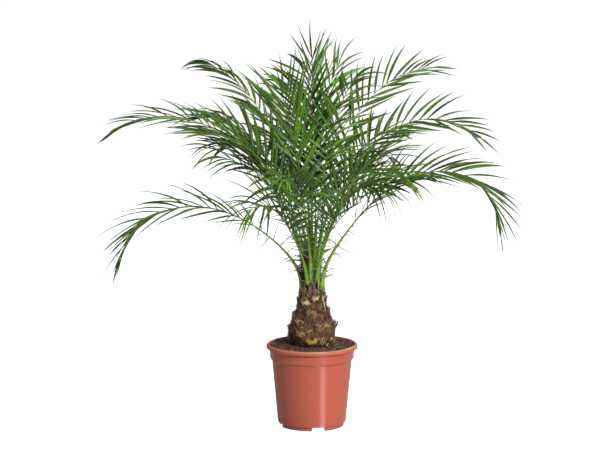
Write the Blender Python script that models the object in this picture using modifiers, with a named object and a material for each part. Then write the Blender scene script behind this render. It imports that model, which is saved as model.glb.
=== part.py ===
"""Pygmy date palm in a round nursery pot.

Metres, +Z up. The pot stands on Z = 0 with its axis on Z, and the front of the
plant faces -Y. Azimuths are in degrees from +X towards +Y, so 270 is the front.
"""

import math
import random
from collections import namedtuple

import bmesh
import bpy
from mathutils import Matrix, Vector
from mathutils.bvhtree import BVHTree

# Gap kept between neighbouring solids
GAP = 0.0003

# Pot: a nursery pot of 190 mm with a rolled lip, a collar and a recessed foot
POT_HEIGHT = 0.173
LIP_RADIUS = 0.095
LIP_HEIGHT = 0.0095
LIP_ROUND = 0.0030
COLLAR_RADIUS = 0.088
COLLAR_TAPER = 0.001
COLLAR_FOOT_Z = 0.1435
COLLAR_STEP = 0.004
WALL_FOOT_RADIUS = 0.0706
WALL_THICKNESS = 0.002
FOOT_RADIUS = 0.067
FOOT_HEIGHT = 0.0085
FOOT_THICKNESS = 0.003
FOOT_TAPER = 0.0006
BASE_DISC_RADIUS = 0.032
POT_STEPS = 36
NOTCH_WIDTH = 0.0286
NOTCH_COUNT = 4
NOTCH_AZIMUTH = 281.7
NOTCH_TOP = 0.0083
DRAIN_RADIUS = 0.0045
DRAIN_CIRCLE = 0.050
DRAIN_SIDES = 8
CUTTER_DEPTH = 0.010

# Soil, mounded up to the trunk and clear of the pot by its gap
SOIL_TOP = 0.172
SOIL_EDGE_Z = 0.1710
SOIL_MOUND_RADIUS = 0.040
SOIL_SLOPE_RADIUS = 0.064
SOIL_GAP = 0.0005

# Trunk, with heights above its flat cut
TRUNK_BASE_Z = SOIL_TOP + GAP
TRUNK_STEPS = 28
TRUNK_SWELL = (
    (0.000, 0.0380),
    (0.009, 0.0440),
    (0.021, 0.0470),
    (0.038, 0.0445),
    (0.061, 0.0370),
    (0.080, 0.0300),
    (0.098, 0.0258),
)
NECK_STEP = 0.0005

# Old leaf bases: azimuth, height above the trunk's cut and width of those that face
# the front. A spiral goes round the trunk and fills the room between them
Stub = namedtuple("Stub", "azimuth height width")
FRONT_STUBS = (
    Stub(288, 0.0950, 0.0150),
    Stub(324, 0.0940, 0.0110),
    Stub(239, 0.0890, 0.0155),
    Stub(270, 0.0710, 0.0185),
    Stub(301, 0.0630, 0.0115),
    Stub(227, 0.0500, 0.0130),
    Stub(5, 0.0400, 0.0140),
    Stub(287, 0.0400, 0.0130),
    Stub(240, 0.0300, 0.0170),
    Stub(271, 0.0170, 0.0190),
    Stub(297, 0.0140, 0.0140),
)
SPIRAL_STEPS = 40
SPIRAL_FIRST_HEIGHT = 0.009
SPIRAL_PITCH = 0.0020
STUB_SPACING = 0.0175
GOLDEN_ANGLE = 137.508
STUB_LEAN = 41.0
STUB_WIDTH = 0.015
STUB_DEPTH = 0.009
STUB_STAND = 0.0050
STUB_ROOT = 0.007

# Tiers of leaf stalks round the neck: ledge height above the trunk's cut, neck
# radius above the ledge, and the stalk's width and thickness at its foot
Tier = namedtuple("Tier", "ledge neck width thickness")
TIERS = {
    1: Tier(0.100, 0.0160, 0.0105, 0.0080),
    2: Tier(0.118, 0.0115, 0.0060, 0.0042),
    3: Tier(0.136, 0.0072, 0.0056, 0.0040),
    4: Tier(0.152, 0.0000, 0.0064, 0.0050),
}

# Fronds. length is the rib's, rise its angle once it has left the neck, droop
# how far it has turned down at its tip, late the power that says how late it
# does so and roll how far its blade leans. spread and close are the angles
# between rib and leaflets at the foot and the tip of the blade, lift and
# lift_tip the angles by which they rise out of it there, leaf the length of the
# longest, sag how far each bends down and split the share of the rib at which a
# frond with a wide bend becomes two solids
Frond = namedtuple(
    "Frond",
    "name azimuth tier length rise droop late roll spread close lift lift_tip leaf sag split",
)
FRONDS = (
    Frond("left_low", 185, 1, 0.500, 50, 118, 2, -20, 49, 16, 9, 11, 0.122, 14, 0.60),
    Frond("right_low", 348, 1, 0.550, 58, 140, 2.7, 46, 36, 9, 25, 20, 0.126, 16, 0.62),
    Frond("left_mid", 177, 2, 0.580, 73, 98, 2, -22, 58, 18, 11, 12, 0.108, 13, 0.66),
    Frond("right_mid", 351, 2, 0.545, 76, 112, 2.5, 48, 58, 18, 17, 23, 0.094, 8, 0.62),
    Frond("right_high", 25, 2, 0.560, 85, 84, 2.3, 51, 57, 17, 36, 2, 0.102, 9, 0.66),
    Frond("left_high", 149, 3, 0.520, 76, 58, 2.5, -25, 46, 15, 22, 1, 0.100, 36, None),
    Frond("top", 86, 4, 0.445, 90, 0, 2.2, -31, 70, 23, 27, 5, 0.100, 24, None),
    Frond("front_left_high", 244, 3, 0.420, 78, 20, 1.7, 23, 41, 17, 49, 1, 0.164, 19, None),
    Frond("front_right_high", 302, 3, 0.465, 81, 38, 2.4, -19, 75, 18, 40, -11, 0.104, 40, None),
    Frond("front_left_mid", 215, 2, 0.440, 70, 66, 2.8, 31, 45, 13, 53, 30, 0.144, 13, 0.66),
    Frond("front_right_mid", 322, 2, 0.395, 82, 112, 2.2, -43, 53, 24, 40, 15, 0.100, 20, 0.60),
    Frond("front_mid", 257, 2, 0.400, 70, 74, 1.8, 5, 56, 13, 32, 8, 0.120, 18, 0.66),
    Frond("front_left_low", 242, 1, 0.370, 55, 74, 2.7, -36, 63, 12, 45, -4, 0.140, 28, 0.62),
    Frond("front_low", 298, 1, 0.395, 60, 64, 2.5, 22, 52, 7, 50, -6, 0.164, 46, 0.62),
    Frond("right_inner", 343, 3, 0.315, 61, 48, 1.8, 25, 75, 22, 50, -5, 0.118, 32, None),
    Frond("left_inner", 195, 3, 0.335, 72, 58, 2, -26, 56, 27, 15, 21, 0.134, 41, None),
    Frond("back_right_low", 57, 1, 0.425, 60, 76, 2.5, -11, 61, 18, 30, 21, 0.154, 16, 0.62),
    Frond("back_low", 93, 1, 0.460, 52, 96, 2.4, -1, 48, 11, 32, 11, 0.118, 28, 0.62),
    Frond("back_left_low", 130, 1, 0.420, 62, 78, 3.2, 5, 71, 13, 21, 27, 0.158, 40, 0.62),
    Frond("back_right_mid", 55, 2, 0.475, 73, 86, 1.7, 11, 63, 23, 23, 23, 0.126, 8, 0.66),
    Frond("back_mid", 102, 2, 0.525, 77, 80, 2.5, 18, 39, 22, 11, 1, 0.124, 22, 0.66),
    Frond("back_left_mid", 140, 2, 0.470, 74, 76, 2, 0, 55, 12, 23, 14, 0.142, 21, 0.66),
    Frond("back_high", 92, 3, 0.485, 78, 44, 1.6, -28, 62, 26, 42, 17, 0.164, 26, None),
    Frond("back_right_high", 42, 3, 0.450, 90, 34, 3.1, 54, 57, 16, 46, 5, 0.096, 46, None),
)
FLARE = 0.062
RIB_STATIONS = 12
PATH_STEPS = 240
STALK_FOOT = 0.07
STALK_SHARE = 0.60
RIB_TIP_WIDTH = 0.0020
RIB_TIP_THICKNESS = 0.0018
END_BLADE_LENGTH = 0.080
END_BLADE_WIDTH = 0.0075

# Leaflets: two rows, folded up into a V, larger and fewer than life
LEAFLETS_A_SIDE = 13
LEAFLET_WIDTH = 0.0105
LEAFLET_THICKNESS = 0.0019
LEAFLET_WIDEST = 0.34
LEAFLET_OPEN = 1.12
LEAFLET_SWEEP = 0.40
LEAFLET_PROFILE = (0.14, 0.64)
LOWEST_LEAFLET = 0.22
LOW_LEAFLETS = 0.16
LEAFY_FROM = 0.30
ROW_STAGGER = 0.22
TURN_SPREAD = 4.0
LIFT_SPREAD = 5.0
LENGTH_SPREAD = 0.08
BARE_AT_SPLIT = 0.01
SEED = 11

DOWN = Vector((0, 0, -1))


def material(name, colour, roughness, metallic=0.0):
    made = bpy.data.materials.new(name)
    made.use_nodes = True
    shader = made.node_tree.nodes["Principled BSDF"]
    shader.inputs["Base Color"].default_value = (*colour, 1.0)
    shader.inputs["Roughness"].default_value = roughness
    shader.inputs["Metallic"].default_value = metallic
    made.diffuse_color = (*colour, 1.0)
    return made


def around(azimuth):
    """The level direction out from the pot's axis at an azimuth in degrees."""
    angle = math.radians(azimuth)
    return Vector((math.cos(angle), math.sin(angle), 0.0))


def turned_by(vector, axis, degrees):
    return Matrix.Rotation(math.radians(degrees), 3, axis) @ vector


def mesh_object(name, mesh, collection, finish=None):
    made = bpy.data.objects.new(name, mesh)
    if finish:
        mesh.materials.append(finish)
    collection.objects.link(made)
    return made


def set_origin(made, place):
    """Gives an object modelled in place its own location and rotation, and leaves its shape."""
    made.data.transform(place.inverted())
    made.matrix_world = place


def turned(name, profile, steps, collection, finish):
    """A profile of (radius, height) points turned round Z. It runs down its outer side."""
    mesh = bpy.data.meshes.new(name)
    points = [(radius, 0.0, height) for radius, height in profile]
    mesh.from_pydata(points, [(i, i + 1) for i in range(len(points) - 1)], [])
    made = mesh_object(name, mesh, collection, finish)
    screw = made.modifiers.new("turn", "SCREW")
    screw.steps = steps
    screw.render_steps = steps
    screw.use_merge_vertices = True
    screw.merge_threshold = 0.00001
    return made


def applied(made):
    """Puts the object's evaluated mesh in place of its modifiers."""
    graph = bpy.context.evaluated_depsgraph_get()
    mesh = bpy.data.meshes.new_from_object(made.evaluated_get(graph))
    made.modifiers.clear()
    made.data = mesh
    return made


def combine(made, operation, solver, others):
    """One Boolean on a collection, applied, with the collection's objects then removed."""
    boolean = made.modifiers.new("combine", "BOOLEAN")
    boolean.operation = operation
    boolean.solver = solver
    boolean.operand_type = "COLLECTION"
    boolean.collection = others
    applied(made)
    for other in list(others.objects):
        bpy.data.objects.remove(other)
    return made


def keep_outer_skin(made):
    """Drops every patch of faces but the largest: hollows sealed by the fusing and loose scraps."""
    bm = bmesh.new()
    bm.from_mesh(made.data)
    left = set(bm.verts)
    patches = []
    while left:
        patch = []
        reached = [left.pop()]
        while reached:
            vert = reached.pop()
            patch.append(vert)
            for edge in vert.link_edges:
                other = edge.other_vert(vert)
                if other in left:
                    left.discard(other)
                    reached.append(other)
        patches.append(patch)
    patches.sort(key=len)
    for patch in patches[:-1]:
        bmesh.ops.delete(bm, geom=patch, context="VERTS")
    bm.to_mesh(made.data)
    bm.free()
    return made


def loft(rings):
    """(points, faces) of a closed solid through rings of points. A ring of one point is a tip."""
    sides = max(len(ring) for ring in rings)
    points = [point for ring in rings for point in ring]
    faces = []
    first = 0
    for low, high in zip(rings, rings[1:]):
        after = first + len(low)
        for i in range(sides):
            j = (i + 1) % sides
            under = (first + i % len(low), first + j % len(low))
            over = (after + j % len(high), after + i % len(high))
            faces.append(tuple(dict.fromkeys(under + over)))
        first = after
    if len(rings[0]) > 1:
        faces.append(tuple(reversed(range(sides))))
    if len(rings[-1]) > 1:
        faces.append(tuple(range(first, first + sides)))
    return points, faces


def lofted(name, rings, collection, finish=None):
    points, faces = loft(rings)
    mesh = bpy.data.meshes.new(name)
    mesh.from_pydata(points, [], faces)
    return mesh_object(name, mesh, collection, finish)


# Pot and soil


def wall_radius(z):
    """Outer radius of the pot's plain wall between its foot and its collar."""
    low, high = FOOT_HEIGHT, COLLAR_FOOT_Z - COLLAR_STEP
    top = COLLAR_RADIUS - COLLAR_TAPER - COLLAR_STEP
    return WALL_FOOT_RADIUS + (top - WALL_FOOT_RADIUS) * (z - low) / (high - low)


def pot_profile():
    """From the middle of the pot's floor up inside, over the lip, down outside and in below."""
    wall = WALL_THICKNESS
    step_z = COLLAR_FOOT_Z - COLLAR_STEP
    plate_z = FOOT_HEIGHT + wall
    lip_foot_z = POT_HEIGHT - LIP_HEIGHT
    half_round = LIP_ROUND / 2
    return [
        (0.0, wall),
        (BASE_DISC_RADIUS - wall, wall),
        (BASE_DISC_RADIUS, plate_z),
        (wall_radius(plate_z) - wall, plate_z),
        (wall_radius(step_z) - wall, step_z),
        (COLLAR_RADIUS - COLLAR_TAPER - wall, COLLAR_FOOT_Z),
        (COLLAR_RADIUS - wall, lip_foot_z),
        (LIP_RADIUS - 2 * LIP_ROUND, POT_HEIGHT - LIP_ROUND / 4),
        (LIP_RADIUS - LIP_ROUND, POT_HEIGHT),
        (LIP_RADIUS, POT_HEIGHT - LIP_ROUND),
        (LIP_RADIUS, lip_foot_z + half_round),
        (LIP_RADIUS - half_round, lip_foot_z),
        (COLLAR_RADIUS, lip_foot_z - half_round),
        (COLLAR_RADIUS - COLLAR_TAPER, COLLAR_FOOT_Z),
        (wall_radius(step_z), step_z),
        (WALL_FOOT_RADIUS, FOOT_HEIGHT),
        (FOOT_RADIUS, FOOT_HEIGHT),
        (FOOT_RADIUS - FOOT_TAPER, 0.0),
        (FOOT_RADIUS - FOOT_THICKNESS, 0.0),
        (FOOT_RADIUS - FOOT_THICKNESS, FOOT_HEIGHT),
        (BASE_DISC_RADIUS + wall, FOOT_HEIGHT),
        (BASE_DISC_RADIUS, 0.0),
        (0.0, 0.0),
    ]


def cutter(name, bm, offset, azimuth, collection):
    """Moves a shape out along X, turns it to an azimuth and links it as an object."""
    bmesh.ops.translate(bm, verts=bm.verts, vec=offset)
    bm.transform(Matrix.Rotation(math.radians(azimuth), 4, "Z"))
    mesh = bpy.data.meshes.new(name)
    bm.to_mesh(mesh)
    bm.free()
    mesh_object(name, mesh, collection).display_type = "WIRE"


def foot_cutters(collection):
    """Boxes for the notches in the foot ring and pins for the drain holes between them."""
    pitch = 360 / NOTCH_COUNT
    for i in range(NOTCH_COUNT):
        azimuth = NOTCH_AZIMUTH + i * pitch
        box = bmesh.new()
        bmesh.ops.create_cube(box, size=1.0)
        bmesh.ops.scale(box, verts=box.verts, vec=(CUTTER_DEPTH, NOTCH_WIDTH, 2 * NOTCH_TOP))
        ring_middle = FOOT_RADIUS - FOOT_THICKNESS / 2
        cutter("notch", box, (ring_middle, 0, 0), azimuth, collection)
        pin = bmesh.new()
        size = {"radius1": DRAIN_RADIUS, "radius2": DRAIN_RADIUS, "depth": CUTTER_DEPTH}
        bmesh.ops.create_cone(pin, cap_ends=True, segments=DRAIN_SIDES, **size)
        cutter("drain", pin, (DRAIN_CIRCLE, 0, FOOT_HEIGHT), azimuth + pitch / 2, collection)


def make_pot(parts, helpers, finish):
    pot = turned("pot", pot_profile(), POT_STEPS, parts, finish)
    foot_cutters(helpers)
    combine(applied(pot), "DIFFERENCE", "EXACT", helpers)


def make_soil(parts, finish):
    """The root ball fills the pot and keeps a small gap to it all round."""
    inset = WALL_THICKNESS + SOIL_GAP
    step_z = COLLAR_FOOT_Z - COLLAR_STEP
    plate_z = FOOT_HEIGHT + WALL_THICKNESS + SOIL_GAP
    floor_z = WALL_THICKNESS + SOIL_GAP
    profile = [
        (0.0, SOIL_TOP),
        (SOIL_MOUND_RADIUS, SOIL_TOP),
        (SOIL_SLOPE_RADIUS, (SOIL_TOP + SOIL_EDGE_Z) / 2),
        (COLLAR_RADIUS - inset, SOIL_EDGE_Z),
        (COLLAR_RADIUS - COLLAR_TAPER - inset, COLLAR_FOOT_Z),
        (wall_radius(step_z) - inset, step_z),
        (wall_radius(plate_z) - inset, plate_z),
        (BASE_DISC_RADIUS - SOIL_GAP, plate_z),
        (BASE_DISC_RADIUS - inset, floor_z),
        (0.0, floor_z),
    ]
    turned("soil", profile, POT_STEPS, parts, finish)


# Trunk


def trunk_radius(height):
    """Radius of the swollen trunk below its neck, between the heights of its outline."""
    for (low, r_low), (high, r_high) in zip(TRUNK_SWELL, TRUNK_SWELL[1:]):
        if height <= high:
            return r_low + (r_high - r_low) * (height - low) / (high - low)
    return TRUNK_SWELL[-1][1]


def trunk_profile():
    """The outline from the top of the neck down over its ledges and the swollen foot."""
    neck = [(0.0, TIERS[4].ledge), (TIERS[3].neck - NECK_STEP, TIERS[4].ledge)]
    for tier, below in ((3, 2), (2, 1)):
        neck.append((TIERS[tier].neck, TIERS[tier].ledge))
        neck.append((TIERS[below].neck - NECK_STEP, TIERS[tier].ledge))
    neck.append((TIERS[1].neck, TIERS[1].ledge))
    neck.append((TIERS[1].neck + TIERS[1].thickness + NECK_STEP, TIERS[1].ledge))
    swell = [(radius, height) for height, radius in reversed(TRUNK_SWELL)]
    return [(r, TRUNK_BASE_Z + h) for r, h in neck + swell + [(0.0, 0.0)]]


def stub_places():
    """The stubs that face the front, then a spiral's where there is room for them."""
    places = list(FRONT_STUBS)
    for index in range(SPIRAL_STEPS):
        azimuth = index * GOLDEN_ANGLE % 360
        height = SPIRAL_FIRST_HEIGHT + index * SPIRAL_PITCH
        gaps = []
        for other in places:
            turn = math.radians((azimuth - other.azimuth + 180) % 360 - 180)
            gaps.append(math.hypot(turn * trunk_radius(height), height - other.height))
        if min(gaps) > STUB_SPACING:
            places.append(Stub(azimuth, height, STUB_WIDTH))
    return places


def stub_rings(stub):
    """An old leaf base: a flattened peg that leans up and out of the trunk, cut off square."""
    outward = around(stub.azimuth)
    side = around(stub.azimuth + 90)
    lean = turned_by(outward, side, -STUB_LEAN)
    across = side.cross(lean)
    surface = outward * trunk_radius(stub.height) + Vector((0, 0, TRUNK_BASE_Z + stub.height))
    rings = []
    for along, scale in ((-STUB_ROOT, 1.0), (STUB_STAND, 0.85)):
        centre = surface + lean * along
        ring = []
        for corner in range(6):
            turn = math.radians(60 * corner + 30)
            offset = side * (math.cos(turn) * stub.width / 2)
            offset -= across * (math.sin(turn) * STUB_DEPTH / 2)
            ring.append(centre + offset * scale)
        rings.append(ring)
    return rings


def make_trunk(parts, helpers, finish):
    trunk = applied(turned("trunk", trunk_profile(), TRUNK_STEPS, parts, finish))
    for stub in stub_places():
        lofted("stub", stub_rings(stub), helpers)
    combine(trunk, "UNION", "EXACT", helpers)
    set_origin(trunk, Matrix.Translation((0, 0, TRUNK_BASE_Z)))
    return trunk


# Fronds


Station = namedtuple("Station", "along point ahead side up")


def rib_foot(frond):
    """Where a stalk stands: on its tier's ledge, just clear of the neck."""
    tier = TIERS[frond.tier]
    radius = tier.neck + GAP + tier.thickness / 2 if tier.neck else 0.0
    return around(frond.azimuth) * radius + Vector((0, 0, TRUNK_BASE_Z + tier.ledge + GAP))


def rib_stations(frond):
    """The rib leaves the neck upright, flares out to its rise and droops towards its tip."""
    step = frond.length / PATH_STEPS
    point = rib_foot(frond)
    marks = {round(PATH_STEPS * (i / RIB_STATIONS) ** 1.25) for i in range(RIB_STATIONS + 1)}
    if frond.split:
        marks.add(round(PATH_STEPS * frond.split))
    stations = []
    for i in range(PATH_STEPS + 1):
        along = i * step
        share = i / PATH_STEPS
        rise = frond.rise + (90 - frond.rise) * math.exp(-((along / FLARE) ** 2))
        rise = math.radians(rise - frond.droop * share**frond.late)
        ahead = around(frond.azimuth) * math.cos(rise) + Vector((0, 0, math.sin(rise)))
        if i in marks:
            side = turned_by(around(frond.azimuth + 90), ahead, frond.roll * min(1, share * 3))
            stations.append(Station(share, point.copy(), ahead, side, ahead.cross(side)))
        point = point + ahead * step
    return stations


def between(stations, along):
    """The station at a share of the rib's length, on the straight run between two made ones."""
    for low, high in zip(stations, stations[1:]):
        if along <= high.along:
            part = (along - low.along) / (high.along - low.along)
            mixed = [a.lerp(b, part) for a, b in zip(low[1:], high[1:])]
            return Station(along, mixed[0], *(v.normalized() for v in mixed[1:]))
    return stations[-1]


def rib_size(frond, along):
    """Width and thickness of the rib: a broad stalk foot that narrows fast, then a long taper."""
    tier = TIERS[frond.tier]
    foot = math.exp(-along / STALK_FOOT)
    share = STALK_SHARE * foot + (1 - STALK_SHARE) * (1 - along)
    width = RIB_TIP_WIDTH + (tier.width - RIB_TIP_WIDTH) * share
    thickness = RIB_TIP_THICKNESS + (tier.thickness - RIB_TIP_THICKNESS) * share
    return width, thickness


def rib_section(station, centre, width, thickness):
    """Three-sided, flat on the side towards the neck and keeled below."""
    return [
        centre + station.side * (width * x) + station.up * (thickness * z)
        for x, z in ((-0.5, 0.45), (0.0, -0.55), (0.5, 0.45))
    ]


def rib_rings(frond, stations):
    """The rib's sections. Its outer end widens into the last, straight leaflet."""
    rings = [rib_section(s, s.point, *rib_size(frond, s.along)) for s in stations]
    end = stations[-1]
    if end.along == 1.0:
        widest = end.point + end.ahead * (END_BLADE_LENGTH * LEAFLET_WIDEST)
        rings.append(rib_section(end, widest, END_BLADE_WIDTH, RIB_TIP_THICKNESS))
        rings.append([end.point + end.ahead * END_BLADE_LENGTH])
    return rings


def leaflet_length(frond, share):
    """Share 0 is the lowest leaflet of the frond and 1 the one at its tip."""
    low, span = LEAFLET_PROFILE
    full = frond.leaf * (0.30 + 0.70 * math.sin(math.pi * (low + span * share)))
    return full * (LOWEST_LEAFLET + (1 - LOWEST_LEAFLET) * min(1.0, share / LOW_LEAFLETS))


def leaflet_heading(root, across, angle, sag, t):
    """The way a leaflet runs at a share of its length: it closes towards the rib and sags."""
    opening = angle * (LEAFLET_OPEN - LEAFLET_SWEEP * t)
    heading = root.ahead * math.cos(opening) + across * math.sin(opening)
    level = heading.cross(DOWN)
    return turned_by(heading, level.normalized(), sag * level.length * 1.5 * t**1.1)


def leaflet_rings(frond, root, hand, share, length, turn, lift, margin=0.0):
    """A three-sided blade, pointed at both ends, that bends at its widest place.

    A margin makes it that much larger, to find what it comes near.
    """
    angle = math.radians(frond.spread + (frond.close - frond.spread) * share**0.85 + turn)
    raised = math.radians(frond.lift + (frond.lift_tip - frond.lift) * share + lift)
    across = root.side * (hand * math.cos(raised)) + root.up * math.sin(raised)
    middle = leaflet_heading(root, across, angle, frond.sag, LEAFLET_WIDEST / 2)
    end = leaflet_heading(root, across, angle, frond.sag, (1 + LEAFLET_WIDEST) / 2)
    widest = root.point + middle * (length * LEAFLET_WIDEST)
    wide = (root.ahead - middle * root.ahead.dot(middle)).normalized()
    face = wide.cross(middle) * hand
    half = (LEAFLET_WIDTH + margin) / 2
    thick = LEAFLET_THICKNESS + margin
    ring = [
        widest + wide * half + face * (thick * 0.4),
        widest - wide * half + face * (thick * 0.4),
        widest - face * (thick * 0.6),
    ]
    tip = widest + end * (length * (1 - LEAFLET_WIDEST) + margin)
    return [[root.point], ring[::-1] if hand > 0 else ring, [tip]]


def tree_of(solids):
    points, faces = [], []
    for some_points, some_faces in solids:
        faces += [tuple(i + len(points) for i in face) for face in some_faces]
        points += some_points
    return BVHTree.FromPolygons(points, faces)


def placed_leaflets(limb, others, chance):
    """Leaflets of one limb, each turned, lifted or shortened until it is clear of the others."""
    frond, stations = limb
    tree = tree_of(others)
    step = (1 - LEAFY_FROM) / LEAFLETS_A_SIDE
    tries = [(0, 0, 1.0)]
    for scale in (1.0, 0.85, 0.65):
        for turn, lift in ((0, 8), (0, -8), (8, 0), (-8, 0), (8, 10), (-8, -10), (0, 16), (0, -16)):
            tries.append((turn, lift, scale))
    made = []
    for row in range(LEAFLETS_A_SIDE):
        for hand in (-1, 1):
            along = LEAFY_FROM + step * (row + 0.5 + ROW_STAGGER * hand)
            own_turn = chance.uniform(-TURN_SPREAD, TURN_SPREAD)
            own_lift = chance.uniform(-LIFT_SPREAD, LIFT_SPREAD)
            own_scale = chance.uniform(1 - LENGTH_SPREAD, 1 + LENGTH_SPREAD)
            if not stations[0].along + BARE_AT_SPLIT < along < stations[-1].along - BARE_AT_SPLIT:
                continue
            root = between(stations, along)
            share = (along - LEAFY_FROM) / (1 - LEAFY_FROM)
            for turn, lift, scale in tries:
                length = leaflet_length(frond, share) * own_scale * scale
                shape = frond, root, hand, share, length, own_turn + turn, own_lift + lift
                if not tree.overlap(BVHTree.FromPolygons(*loft(leaflet_rings(*shape, 3 * GAP)))):
                    made.append(leaflet_rings(*shape))
                    break
    return made


def limbs_of(frond):
    """(name, frond, stations): the whole rib, or its two stretches with a gap at the bend."""
    stations = rib_stations(frond)
    if not frond.split:
        return [("frond_" + frond.name, frond, stations)]
    cut = next(i for i, s in enumerate(stations) if s.along >= frond.split - 1e-6)
    low, high = stations[: cut + 1], stations[cut:]
    high[0] = high[0]._replace(point=high[0].point + high[0].ahead * GAP)
    return [
        ("frond_" + frond.name, frond, low),
        ("frond_" + frond.name + "_tip", frond, high),
    ]


def solid_of(made):
    points = [made.matrix_world @ vert.co for vert in made.data.vertices]
    return points, [tuple(face.vertices) for face in made.data.polygons]


def make_fronds(parts, helpers, trunk, finish):
    chance = random.Random(SEED)
    limbs = [limb for frond in FRONDS for limb in limbs_of(frond)]
    solids = {name: [loft(rib_rings(frond, run))] for name, frond, run in limbs}
    trunk_solid = solid_of(trunk)
    for name, frond, run in limbs:
        others = [trunk_solid]
        for other, found in solids.items():
            if other != name:
                others += found
        leaflets = placed_leaflets((frond, run), others, chance)
        solids[name] += [loft(rings) for rings in leaflets]
        rib = lofted(name, rib_rings(frond, run), parts, finish)
        for rings in leaflets:
            lofted("leaflet", rings, helpers)
        keep_outer_skin(combine(rib, "UNION", "MANIFOLD", helpers))
        turn = Matrix.Rotation(math.radians(frond.azimuth), 4, "Z")
        set_origin(rib, Matrix.Translation(run[0].point) @ turn)


def main():
    for old in list(bpy.data.objects):
        bpy.data.objects.remove(old)
    parts = bpy.data.collections.new("pygmy_date_palm")
    helpers = bpy.data.collections.new("cutters_and_pieces_to_join")
    for collection in (parts, helpers):
        bpy.context.scene.collection.children.link(collection)
    helpers.hide_render = True
    terracotta = material("terracotta_plastic", (0.60, 0.17, 0.09), 0.35)
    earth = material("potting_soil", (0.045, 0.028, 0.020), 0.95)
    fibre = material("trunk_fibre", (0.17, 0.10, 0.06), 0.90)
    leaf = material("palm_leaf", (0.075, 0.22, 0.035), 0.45)
    make_pot(parts, helpers, terracotta)
    make_soil(parts, earth)
    trunk = make_trunk(parts, helpers, fibre)
    make_fronds(parts, helpers, trunk, leaf)
    plant = bpy.data.objects.new("plant_on_its_pot", None)
    bpy.context.scene.collection.objects.link(plant)
    for made in parts.objects:
        made.parent = plant


main()
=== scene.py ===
"""Pygmy date palm in a round nursery pot: the finish laid over its solids.

Metres, +Z up. The pot stands on Z = 0 with its axis on Z and the front of the
plant faces -Y. Azimuths are in degrees from +X towards +Y, so 270 is the front.
"""

import math
import random
from collections import namedtuple

import bpy
import numpy as np
from mathutils import Matrix, Vector, noise


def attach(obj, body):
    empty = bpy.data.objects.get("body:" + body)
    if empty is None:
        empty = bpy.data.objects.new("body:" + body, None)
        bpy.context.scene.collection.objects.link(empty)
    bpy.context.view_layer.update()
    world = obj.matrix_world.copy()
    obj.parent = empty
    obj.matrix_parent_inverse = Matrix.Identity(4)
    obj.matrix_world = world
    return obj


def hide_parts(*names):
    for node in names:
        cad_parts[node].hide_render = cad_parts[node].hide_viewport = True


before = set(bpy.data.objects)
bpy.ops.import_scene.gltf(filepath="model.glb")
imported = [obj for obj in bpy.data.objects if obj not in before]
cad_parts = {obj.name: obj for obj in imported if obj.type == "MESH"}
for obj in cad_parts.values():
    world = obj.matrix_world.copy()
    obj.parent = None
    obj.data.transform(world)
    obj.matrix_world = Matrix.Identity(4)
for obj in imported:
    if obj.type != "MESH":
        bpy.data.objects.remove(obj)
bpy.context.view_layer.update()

DOWN = Vector((0, 0, -1))
UP = Vector((0, 0, 1))
GOLDEN_ANGLE = 137.508
STRAND_TAPER = 0.85

# Camera, far off and a little above the plant, with a frame 1.24 m wide at the plant
EYE = Vector((-0.0248, -5.92, 1.37))
AIM = Vector((-0.0248, 0.0, 0.4219))
SENSOR = 36.0
FRAME_WIDTH = 1.24

# Light: a plain pale room with soft lamps, the strongest at the right front
ROOM_LIGHT = 0.185
FLOOR_GLOW = 0.96
Lamp = namedtuple("Lamp", "name place width height power")
LAMPS = (
    Lamp("key_right", (1.8, -2.95, 2.2), 0.9, 0.9, 142),
    Lamp("top_soft", (0.5, -1.0, 3.2), 1.4, 1.4, 62),
    Lamp("back_soft", (1.2, 3.0, 2.4), 1.6, 1.6, 52),
)
LAMP_TARGET = (0.0, 0.0, 0.35)
FLOOR_REACH = 40.0

# A glowing strip on the floor that only gloss shows: where the pot's wall mirrors it, across
# from the pot's axis and up the wall
PANEL_LEFT = 0.0175
PANEL_RIGHT = 0.0300
PANEL_LOW = 0.002
PANEL_HIGH = 0.137
PANEL_STEPS = 12
PANEL_LIFT = 0.0005
PANEL_GLOW = 7.2

# Pot
POT_HEIGHT = 0.173
LIP_RADIUS = 0.095
LIP_HEIGHT = 0.0095
LIP_ROUND = 0.0030
COLLAR_RADIUS = 0.088
COLLAR_TAPER = 0.001
COLLAR_FOOT_Z = 0.1435
COLLAR_STEP = 0.004
WALL_FOOT_RADIUS = 0.0706
WALL_THICKNESS = 0.002
FOOT_RADIUS = 0.067
FOOT_HEIGHT = 0.0085
FOOT_THICKNESS = 0.003
FOOT_TAPER = 0.0006
FOOT_MARGIN = 0.0005
BASE_DISC_RADIUS = 0.032
POT_STEPS = 200
POT_CORNER = 0.0011
CORNER_STEPS = 4
DUSTY_RIM = 0.0060
SCUFFED_FOOT = 0.012

# The notches in the foot ring: half their width and the width of their sides, in degrees
NOTCH_COUNT = 4
NOTCH_AZIMUTH = 281.7
NOTCH_TOP = 0.0083
NOTCH_HALF = math.degrees(0.0286 / 2 / FOOT_RADIUS)
NOTCH_SIDE = math.degrees(0.0016 / FOOT_RADIUS)

# Soil, which shows between the two radii of OPEN_SOIL
SOIL_TOP = 0.172
SOIL_EDGE_Z = 0.1710
SOIL_MOUND_RADIUS = 0.040
SOIL_SLOPE_RADIUS = 0.064
SOIL_RIM = 0.0880
SOIL_STEPS = 220
SOIL_RINGS = 70
SOIL_SINK = 0.0008
SOIL_CLEARANCE = 0.0006
OPEN_SOIL = (0.036, SOIL_RIM - 0.001)
CRUMB_COUNT = 1300
CRUMB_SIZE = 0.0007
CRUMB_SIZE_SPREAD = 0.0017
CRUMB_SINK = 0.0006
SHRED_COUNT = 260
SHRED_RADIUS = 0.00035

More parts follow.
